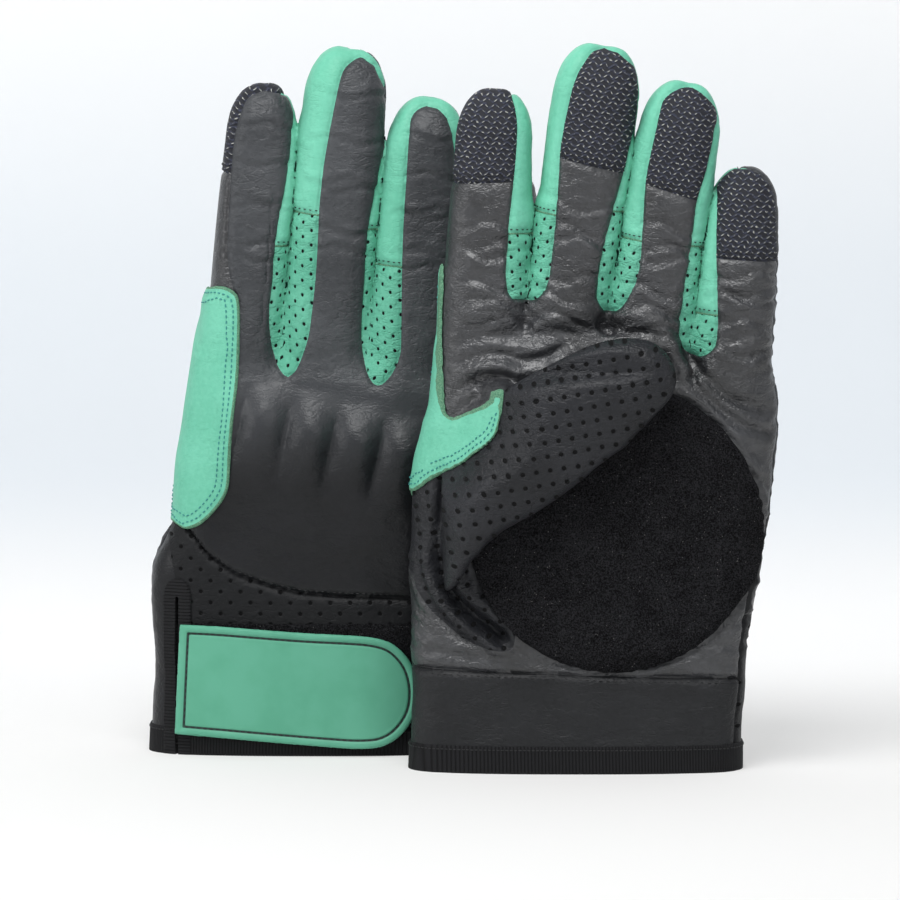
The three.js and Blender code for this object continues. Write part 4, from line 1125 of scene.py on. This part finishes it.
CUFF_SEAM_X = -45.5       # the seam from the slit up to the patch
HALF_SLIT = 0.6
FAR = 9                   # a distance that is out of the way
skins = {}
for side, glove in gloves.items():
    skin = sewn_skin(glove)
    base = skin.values["base"]
    slit = np.maximum(np.abs(base[:, 0] - SLIT_X) - HALF_SLIT, base[:, 2] - SLIT_HEIGHT)
    slit = np.where(base[:, 1] > 0, slit, FAR)
    root = line_distance(np.stack([base[:, 0] - glove.shift, base[:, 2]], 1), root_outline, True)
    root = np.minimum(root, 4 - base[:, 1])
    skin = skin.given(slit=slit, root=root).above("slit").split("root")
    skins[side] = skin
    back, front, mint = leather_faces(skin)
    panel(glove, kept(back, ("parting", False), ("back_seam", True)), "back_panel", back_black,
          ["back_leather"])
    cuff = kept(back, ("back_seam", False))
    spot = cuff.values["base"]
    above_slit = (spot[:, 2] - SLIT_HEIGHT) * (spot[:, 2] > SLIT_HEIGHT)
    cuff = cuff.given(side_seam=spot[:, 0] - CUFF_SEAM_X + 0.2 * above_slit)
    panel(glove, cuff.below("side_seam"), "cuff_side_panel", back_black, ["cuff_back"])
    cuff = cuff.above("side_seam")
    panel(glove, cuff, "cuff_back_panel", cuff_black, ["cuff_back"],
          pattern=cuff.values["base"][:, [0, 2]])
    palm = kept(front, ("parting", False), ("palm_seam", True))
    panel(glove, kept(palm, ("root", False)), "palm_panel", palm_black, ["palm_leather"])
    thumb_root = kept(palm, ("root", True))
    panel(glove, thumb_root, "thumb_root_panel", thumb_black, ["palm_leather"],
          pattern=thumb_root.values["base"][:, [0, 2]] @ np.array([[0.8, 0.6], [-0.6, 0.8]]))
    panel(glove, kept(front, ("palm_seam", False)), "cuff_band_panel", band_black,
          ["cuff_band"])
    web = kept(mint, ("parting", False))
    panel(glove, web, "web_gussets", mint_punched, ["web_1", "web_2", "web_3"],
          pattern=np.stack([web.values["around"], web.values["along"]], 1))
    for k, finger in enumerate(glove.fingers):
        own, name = signs_of_finger(k), finger.name
        panel(glove, kept(back, *own), f"{name}_back_panel", finger_leather_painted_light,
              [f"{name}_back"], finger)
        panel(glove, kept(front, *own, ("pad", False)), f"{name}_palm_panel", palm_black,
              [f"{name}_palm"], finger)
        tip = kept(front, *own, ("pad", True))
        panel(glove, tip, f"{name}_tip_fabric", knit, [f"{name}_tip_pad"], finger,
              pattern=np.stack([tip.values["across"], tip.values["along"]], 1))
        sides, nodes = side_strips(glove, mint, finger, own), [f"{name}_side_strip"]
        panel(glove, sides.above("strip"), f"{name}_strip", mint_plain, nodes, finger)
        gusset = sides.below("strip")
        if len(gusset.triangles):
            panel(glove, gusset, f"{name}_gusset", mint_punched, nodes, finger,
                  pattern=np.stack([gusset.values["around"], gusset.values["along"]], 1))


# The thumb-side patch
# A second layer of mint leather over the thumb side of the hand, sewn down with two rows of
# teal thread. Its edge is left raw, so the pale felted inside of the leather shows round it.

PATCH_RAISE = 1.3
RAW_EDGE = 1.0            # width of the felted rim that shows
PATCH_ROWS = (2.5, 4.6)   # of the two rows of stitches from the patch's edge
PATCH_WALL = 1.6
patch_back = rounded_line([(x * HALF_HAND, z * HAND_LENGTH) for x, z in (
    (-1.2, 0.478), (-0.77, 0.477), (-0.69, 0.466), (-0.6, 0.48), (-0.5, 0.52), (-0.45, 0.56), (-0.43, 0.66),
    (-0.4, 0.78), (-0.39, 0.9), (-0.4, 0.948), (-0.45, 0.966), (-0.52, 0.968), (-0.6, 0.955), (-1.2, 0.955))])


def laid_on(skin, field, raise_by, soften=0.8, reach=3):
    """A layer on top of the skin, where the field is positive, with a rounded edge."""
    sheet = skin.given(edge=field).picked(field[skin.triangles].max(1) > -reach)
    field = sheet.values["edge"]
    far = smooth_step((np.abs(field) - 3) / 6)
    layer = sheet.given(edge=true_distance(sheet, field) * (1 - far) + field * far)
    layer = layer.split("edge", soften).split("edge", soften / 3).above("edge")
    inward = 1 - np.clip(layer.values["edge"] / soften, 0, 1)
    height = raise_by - soften * (1 - np.sqrt(np.maximum(1 - inward ** 2, 0)))
    layer.places = layer.values["cover"] + layer.values["upright"] * height[:, None]
    return layer.smoothed()


def patch_field(glove, base):
    flat = base[:, [0, 2]]
    on_back = line_distance(flat, patch_back, True)
    on_palm = under_patch(glove, base[:, 0], base[:, 2])
    middle, spread = {"right": (-11, 14), "left": (2, 12)}[glove.side]
    share = smooth_step((base[:, 1] - middle) / spread)
    ragged = 0.35 * noise_at(base, 1.6, 5)
    return share * on_back + (1 - share) * on_palm + ragged * smooth_step(1 - share)


def sewn_on(glove, threads, name, finish, finger=None):
    """Threads as a piece of their own, which rides where the leather under them rides."""
    panel(glove, threads, name, finish, [], finger, thickness=0)


def sewn_down(spot):
    """The patch is sewn on the back and along its lower edge on the palm, not along its tab."""
    return spot[1] > 3 or spot[2] < 107 + 0.83 * (spot[0] + 50)


for side, glove in gloves.items():
    layer = laid_on(skins[side], patch_field(glove, skins[side].values["base"]), PATCH_RAISE)
    spot = layer.values["base"]
    wide = smooth_step((spot[:, 2] - 122) / 12) * smooth_step(-spot[:, 1] / 4)
    layer = layer.given(inner=layer.values["edge"] - RAW_EDGE * (1 + 2.4 * wide))
    core, edge = layer.above("inner"), layer.below("inner")
    index = glove.fingers[0]
    for part, name, finish in ((core, "leather", mint_plain), (edge, "raw_edge", raw_edge)):
        panel(glove, part, f"thumb_patch_{name}", finish, ["thumb_patch"], index,
              thickness=PATCH_WALL)
    rows = [line for inset in PATCH_ROWS for line in contours(layer, layer.values["edge"], inset)]
    sewn = stitches(rows, 1.9, 1.3, 0.5, keep=sewn_down)
    sewn_on(glove, sewn, "thumb_patch_stitches", teal_thread, index)


# The loop disc that the slide puck holds on to
# A round of dense loop pile, sewn over the palm near its edge. The pile stands up over the thread.

PILE_RAISE = 2.2

for side, glove in gloves.items():
    base = skins[side].values["base"]
    field = in_puck(glove, base) + 0.3 * noise_at(base, 2.2, 8)
    disc = laid_on(skins[side], np.where(base[:, 1] < -2, field, -FAR), PILE_RAISE, 1.6)
    disc = disc.raised(0.28 * noise_at(disc.values["base"], 2.6, 31)).smoothed()
    panel(glove, disc, "puck_disc", pile, ["puck_patch"], thickness=2.6)


# The thumb
# A sleeve of punched leather, folded flat across the palm and the disc, and turned over its seam.

thumb_upper = [(-46, 106), (-42, 116), (-35, 123.5), (-26.6, 131), (-19.7, 135.2), (-11, 140),
               (-2.4, 144.8), (4.5, 147.9), (11.4, 149.7), (18.3, 150.3), (25.2, 148.6), (29.6, 145),
               (31.9, 140.5), (32, 136)]
thumb_lower = [(-44.6, 63.5), (-41.4, 68), (-38.5, 73.8), (-34.1, 79), (-31, 82.8), (-26.6, 86.2),
               (-19.7, 89.7), (-12.8, 93.8), (-5.9, 99), (1, 104.1), (7.9, 109.8), (14.8, 114.5),
               (19, 119.2), (23.4, 123.7), (27.5, 128.5), (30.5, 132.5), (32, 136)]
thumb_depths = smooth_table([0, 9, 27, 44, 60, 69, 75, 79], [5.5, 8.4, 10.3, 10.3, 9.7, 8.4, 6.4, 4.8], 3)
THUMB_MIDDLE = -25.8
SLEEVE_START = -45.5      # the sleeve begins here, under the patch and behind the fold of its root
SLEEVE_ROUNDS = 4
ROLL_LENGTH, ROLL_DEPTH = 13, 15
THUMB_BEND = (-48, -34)   # where it would turn with its joint, from the thumb side on; the ends are worked out below but not used
BEND_DEPTH, BEND_HEIGHT = -14, 88


def evenly(points, count):
    line = rounded_line(points, 12)
    reach = np.concatenate([[0], np.cumsum(np.linalg.norm(np.diff(line, axis=0), axis=1))])
    at = np.linspace(0, reach[-1], count)
    return np.stack([np.interp(at, reach, line[:, k]) for k in range(2)], 1)


def thumb_sheet(glove):
    """The sleeve as rings between its upper and lower outlines."""
    rings, around = ((130, 128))
    upper, lower = evenly(thumb_upper, rings), evenly(thumb_lower, rings)
    middle, half = (upper + lower) / 2, (upper - lower) / 2
    turn = np.linspace(0, 2 * np.pi, around + 1)
    c, s = np.cos(turn), np.sin(turn)
    across = np.sign(c) * np.abs(c) ** (2 / 2.3)
    through = np.sign(s) * np.abs(s) ** (2 / 2.3)
    depth = thumb_depths(middle[:, 0] + 47)
    depth = np.minimum(depth, np.linalg.norm(half, axis=1) * 0.8)
    x = middle[:, :1] + half[:, :1] * across + glove.shift
    z = middle[:, 1:] + half[:, 1:] * across
    start = np.clip((middle[:, 0] - middle[0, 0]) / ROLL_LENGTH, 0, 1)
    front = THUMB_MIDDLE + ROLL_DEPTH * (1 - np.sqrt(1 - (1 - start) ** 2))
    y = front[:, None] + depth[:, None] * through
    places = np.stack([x, y, z], -1).reshape(-1, 3)
    room = 0.5 + (PILE_RAISE + 0.3) * smooth_step((in_puck(glove, places) + 2) / 3)
    for _ in range(SLEEVE_ROUNDS):
        places[:, 1] -= np.maximum(room - glove.field(places), 0) * (places[:, 0] > -42 + glove.shift)
    clear = -under_patch(glove, places[:, 0], places[:, 2])
    lift = root_rise(glove, places[:, 0], places[:, 2]) - 1 + 20 * (1 - np.exp(-np.maximum(clear, 0) / 17))
    for _ in range(SLEEVE_ROUNDS):
        places[:, 1] += np.maximum(glove.field(places) - lift, 0) * (places[:, 1] < -10)
    axis = np.array([[0.82, 0.57], [-0.57, 0.82]])
    spots = np.stack([places[:, 0] - glove.shift, places[:, 2]], 1) @ axis
    values = {"spots": spots, "start": places[:, 0] - glove.shift - SLEEVE_START}
    sheet = Sheet(places, grid_triangles(rings, around + 1), values).smoothed()
    ring = sheet.values["normal"].reshape(rings, around + 1, 3)
    ring[:, 0] = ring[:, -1] = ring[:, 0] + ring[:, -1]
    ring = ring / np.linalg.norm(ring, axis=2, keepdims=True)
    sheet.values["normal"] = ring.reshape(-1, 3)
    lumps = 0.6 * noise_at(places, 13, 41) + 0.3 * noise_at(places, 5, 43)
    sheet = sheet.raised(lumps * smooth_step((places[:, 0] + 46) / 8) * smooth_step((clear - 1) / 6))
    return sheet.above("start")


for side, glove in gloves.items():
    sheet = thumb_sheet(glove)
    piece = build("thumb_sleeve", glove, sheet, thumb_black, 1.2,
                  sheet.values["spots"])
    start, end = (tuple(glove.world(np.array([[x + glove.shift, BEND_DEPTH, BEND_HEIGHT]]))[0])
                  for x in THUMB_BEND)
    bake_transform(piece)
    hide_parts(f"{side}_thumb")


# Bindings of the hem and the slit
# One ribbed tape is folded over the raw edges of the cuff, round the hem and up round the slit.

HEM_HEIGHT = 9.5
NEAR_HEM = 13
TAPE_RAISE = 0.8
TAPE_REACH = 4.7

for side, glove in gloves.items():
    skin = skins[side]
    base = skin.values["base"]
    low = skin.picked(base[:, 2][skin.triangles].max(1) < NEAR_HEM)
    hem = laid_on(low, HEM_HEIGHT - low.values["base"][:, 2], TAPE_RAISE, reach=HEM_HEIGHT)
    spot = hem.values["base"]
    panel(glove, hem, "hem_tape", tape, ["hem_binding"], thickness=2.6,
          pattern=np.stack([spot[:, 0] + spot[:, 1], spot[:, 2]], 1))
    sewn = stitches(contours(hem, hem.values["edge"], 1.3), 1.5, 1.3, 0.4, 0.05)
    sewn_on(glove, sewn, "hem_stitches", dark_thread)
    away = np.hypot(base[:, 0] - SLIT_X, np.maximum(base[:, 2] - SLIT_HEIGHT, 0) * 0.75)
    band = laid_on(skin, np.where(base[:, 1] > 0, TAPE_REACH - away, -FAR), TAPE_RAISE + 0.25, reach=2)
    spot = band.values["base"]
    panel(glove, band, "slit_tape", tape, ["hem_binding"], thickness=1.6,
          pattern=np.stack([spot[:, 2], spot[:, 0]], 1))


# The wrist strap
# A moulded rubber strap, sewn in at the slit, with a raised rim, a stitched groove inside the rim
# and a bare face. A hook tape under it holds on a field of loop pile on the cuff.

STRAP_THICKNESS = 2.6
STRAP_ROUND = 0.9         # radius of its edge
STRAP_LIFT = 1.7          # the strap's underside above the cuff
HOOK_MARGIN = 4.0         # the hook tape ends this far inside the strap's edge
LOOP_FIELD = (-41, 38, 9.8, 46)     # left, right, foot and top of the loop pile on the cuff
strap_outline = rounded_line([
    (-44.1, 45.6), (-42, 45.6), (-30, 45.2), (-3.1, 43.2), (12, 42.4), (21, 41.6), (27.5, 39.6),
    (32.4, 35.2), (35.4, 29.6), (36.6, 22.8), (35.9, 16), (33.1, 10.2), (28.6, 5.6), (22.8, 3.2),
    (14, 2.9), (-3.1, 4.2), (-30, 6.4), (-43.6, 7.2), (-45.8, 7.3)])


def on_cuff(glove, outline, step, margin=0.0):
    """A flat shape laid on the back of the cuff, with the distance to its edge."""
    low, high = outline.min(0) - 1, outline.max(0) + 1
    xs, zs = np.arange(low[0], high[0], step), np.arange(low[1], high[1], step)
    grid = np.stack(np.meshgrid(xs, zs, indexing="ij"), -1).reshape(-1, 2)
    left, right = glove.left(grid[:, 1]), glove.right(grid[:, 1])
    share = np.clip(np.abs(grid[:, 0] - (left + right) / 2) / ((right - left) / 2), 0, 0.98)
    y = glove.depth(grid[:, 1]) * (1 - share ** SQUARENESS) ** (1 / SQUARENESS)
    places = np.stack([grid[:, 0], y, grid[:, 1]], 1)
    edge = line_distance(grid, outline, True) - margin
    sheet = Sheet(places, grid_triangles(len(xs), len(zs)), {"edge": edge}).smoothed()
    if sheet.values["normal"][:, 1].mean() < 0:
        sheet.triangles = sheet.triangles[:, ::-1]
        sheet.values["normal"] = -sheet.values["normal"]
    return sheet


for side, glove in gloves.items():
    step = 0.5
    flat = on_cuff(glove, strap_outline, step).split("edge", 0.4, 0.05).split("edge", 1.0, 0.05).above("edge")
    d = flat.values["edge"]
    inward = 1 - np.clip(d / STRAP_ROUND, 0, 1)
    profile = STRAP_THICKNESS - STRAP_ROUND * (1 - np.sqrt(np.maximum(1 - inward ** 2, 0)))
    profile -= 0.75 * hump(d - GROOVE_INSET, 0.6) + 0.35 * smooth_step((d - GROOVE_INSET - 0.4) / 0.9)
    strap = flat.raised(STRAP_LIFT + profile).smoothed()
    piece = build("wrist_strap", glove, strap, rubber, 2.2,
                  np.stack([strap.values["edge"], strap.places[:, 2]], 1))
    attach(piece, f"{side}_strap_body")
    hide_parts(f"{side}_strap")
    rows = contours(strap, strap.values["edge"], GROOVE_INSET)
    sewn = build("strap_stitches", glove, stitches(rows, 2.2, 1.7, 0.5, 0.05), dark_thread, 0)
    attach(sewn, f"{side}_strap_body")
    hooks = on_cuff(glove, strap_outline, step, HOOK_MARGIN).above("edge").raised(STRAP_LIFT)
    piece = build("strap_hooks", glove, hooks, hook_plastic, 0.7)
    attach(piece, f"{side}_strap_body")
    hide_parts(f"{side}_strap_hook")
    x, y, z = skins[side].values["base"].T
    left, right, foot, top = LOOP_FIELD
    field = np.minimum(np.minimum(x - left, right - x), np.minimum(z - foot, top - z))
    loops = laid_on(skins[side], np.where(y > 0, field, -FAR), 0.8, reach=2)
    panel(glove, loops, "cuff_loop_field", pile, ["cuff_back"], thickness=1.0)


# The finer seams
# Dark stitches along the cuff seams, and across the ends of the side strips, whose folded edge
# lies there like a pale cord, and of the fabric tips.

TIP_ROWS = (1.0, 2.6)     # of the two rows of stitches above a fabric tip's lower edge

for side, glove in gloves.items():
    back, front, mint = leather_faces(skins[side])
    threads = stitches(contours(back, back.values["back_seam"], 1.3), 2.0, 1.3, 0.35, 0.05)
    sewn_on(glove, threads, "back_seam_stitches", dark_thread)
    threads = stitches(contours(front, front.values["palm_seam"], -1.4), 2.3, 1.5, 0.4, 0.05)
    sewn_on(glove, threads, "band_seam_stitches", dark_thread)
    for k, finger in enumerate(glove.fingers):
        own, name = signs_of_finger(k), finger.name
        strip = side_strips(glove, mint, finger, own)
        cord = stitches(contours(strip, strip.values["strip"], 0), 0.9, 1.5, 0.8, -0.1)
        made = stitches(contours(strip, strip.values["strip"], 1.5), 1.9, 1.0, 0.4)
        if made is not None and cord is not None:
            sewn_on(glove, made, f"{name}_strip_stitches", dark_thread, finger)
            sewn_on(glove, cord, f"{name}_strip_fold", raw_edge, finger)
        tip = kept(front, *own)
        rows = [line for height in TIP_ROWS for line in contours(tip, tip.values["pad"], height)]
        made = stitches(rows, 2.0, 1.3, 0.4)
        if made is not None:
            sewn_on(glove, made, f"{name}_tip_stitches", dark_thread, finger)


# The knuckle guard
# A moulded plastic shell of four cups under the back leather, out of sight.

for side in gloves:
    guard = frame["nodes"][f"{side}_knuckle_guard"]
    guard.data.materials.clear()
    guard.data.materials.append(guard_plastic)


# The studio
# A white table under soft light from above, in front of a backdrop that is faintly blue halfway up.

CAMERA_DISTANCE = 4
CAMERA_RISE = math.radians(7.1)
PIXELS_PER_METRE = 2900
FRAME_PIXELS = 900
SENSOR_WIDTH = 36
aim = Vector((-0.0038, 0, 0.1071))

data = bpy.data.cameras.new("camera")
data.sensor_width = SENSOR_WIDTH
data.lens = PIXELS_PER_METRE * CAMERA_DISTANCE * SENSOR_WIDTH / FRAME_PIXELS
camera = bpy.data.objects.new("camera", data)
camera.location = aim + CAMERA_DISTANCE * Vector((0, -math.cos(CAMERA_RISE), math.sin(CAMERA_RISE)))
camera.rotation_euler = (math.pi / 2 - CAMERA_RISE, 0, 0)
bpy.context.scene.collection.objects.link(camera)
bpy.context.scene.camera = camera


BACKDROP_START, BACKDROP_CURVE = 0.25, 0.12
SWEEP_SIZE, SWEEP_CUTS = 6, 119
GLOW_SHARE = 0.42         # how much of the sweep's light is its own


def stage_finish(name):
    """A matt white sweep, faintly blue behind the gloves. From behind it can be seen through."""
    finish = Finish(name)
    height = Wire(finish, finish.node("SeparateXYZ", inputs={0: finish.place()}).socket.node.outputs[2])
    blue = height.step(0.0, 0.06) * height.step(0.3, 0.1)
    # From the gloves forward the floor and its glow are coloured greyer than further back: painted shade,
    # standing for the soft shadow round the gloves.
    far = finish.node("SeparateXYZ", inputs={0: finish.place()}, output=1).step(0.0, 0.3)
    pale = finish.mix(far, colour(236, 236, 235), colour(250, 250, 250))
    shade = finish.mix(blue, pale, colour(226, 232, 237))
    glow = finish.mix(far, colour(243, 242, 241), colour(255, 254, 253))
    glow = finish.mix(blue, glow, colour(233, 237, 242))
    finish.set(Base_Color=shade, Roughness=0.9)
    finish.shader.inputs["Specular IOR Level"].default_value = 0.1
    seen = finish.node("LightPath", output="Is Camera Ray").most(
        finish.node("LightPath", output="Is Glossy Ray"))
    light = finish.node("Emission", inputs={"Color": glow, "Strength": 1.0})
    matt = Wire(finish, finish.shader.outputs[0])
    mixed = finish.node("MixShader", inputs={0: seen * GLOW_SHARE, 1: matt, 2: light})
    behind = finish.node("NewGeometry", output="Backfacing")
    unseen = finish.node("BsdfTransparent")
    whole = finish.node("MixShader", inputs={0: behind, 1: mixed, 2: unseen})
    finish.put(finish.tree.nodes["Material Output"].inputs["Surface"], whole)
    return finish.material


bpy.ops.object.select_all(action="DESELECT")
bpy.ops.mesh.primitive_plane_add(size=SWEEP_SIZE, location=(0, 0, 0))
floor = bpy.context.object
floor.name = "table_and_backdrop"
bpy.ops.object.mode_set(mode="EDIT")
bpy.ops.mesh.subdivide(number_cuts=SWEEP_CUTS)
bpy.ops.object.mode_set(mode="OBJECT")
for corner in floor.data.vertices:
    beyond = corner.co.y - BACKDROP_START
    if beyond > 0:
        turn = min(beyond / BACKDROP_CURVE, math.pi / 2)
        corner.co.y = BACKDROP_START + BACKDROP_CURVE * math.sin(turn)
        corner.co.z = BACKDROP_CURVE * (1 - math.cos(turn)) + max(0, beyond - BACKDROP_CURVE * math.pi / 2)
bpy.ops.object.shade_smooth()
floor.data.materials.append(stage_finish("white_sweep"))
floor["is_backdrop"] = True

world = bpy.data.worlds.new("studio")
world.use_nodes = True
sky = world.node_tree.nodes["Background"]
sky.inputs["Color"].default_value = (0.93, 0.96, 1, 1)
sky.inputs["Strength"].default_value = 0.4
bpy.context.scene.world = world


def lamp(name, place, toward, size, power):
    light = bpy.data.lights.new(name, "AREA")
    light.shape = "RECTANGLE"
    light.size, light.size_y = size
    light.energy = power
    made = bpy.data.objects.new(name, light)
    made.location = place
    made.rotation_euler = (Vector(toward) - Vector(place)).to_track_quat("-Z", "Y").to_euler()
    bpy.context.scene.collection.objects.link(made)


lamp("overhead_softbox", (-0.1, -0.42, 0.85), (0, 0, 0.12), (0.4, 0.3), 5.6)
lamp("front_softbox", (0.6, -1.3, 0.7), (0, 0, 0.1), (0.4, 0.4), 3)
lamp("left_softbox", (-1.0, -0.5, 0.5), (0, 0, 0.12), (0.3, 0.5), 3.5)
bpy.context.scene.view_settings.view_transform = "Standard"

low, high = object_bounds()
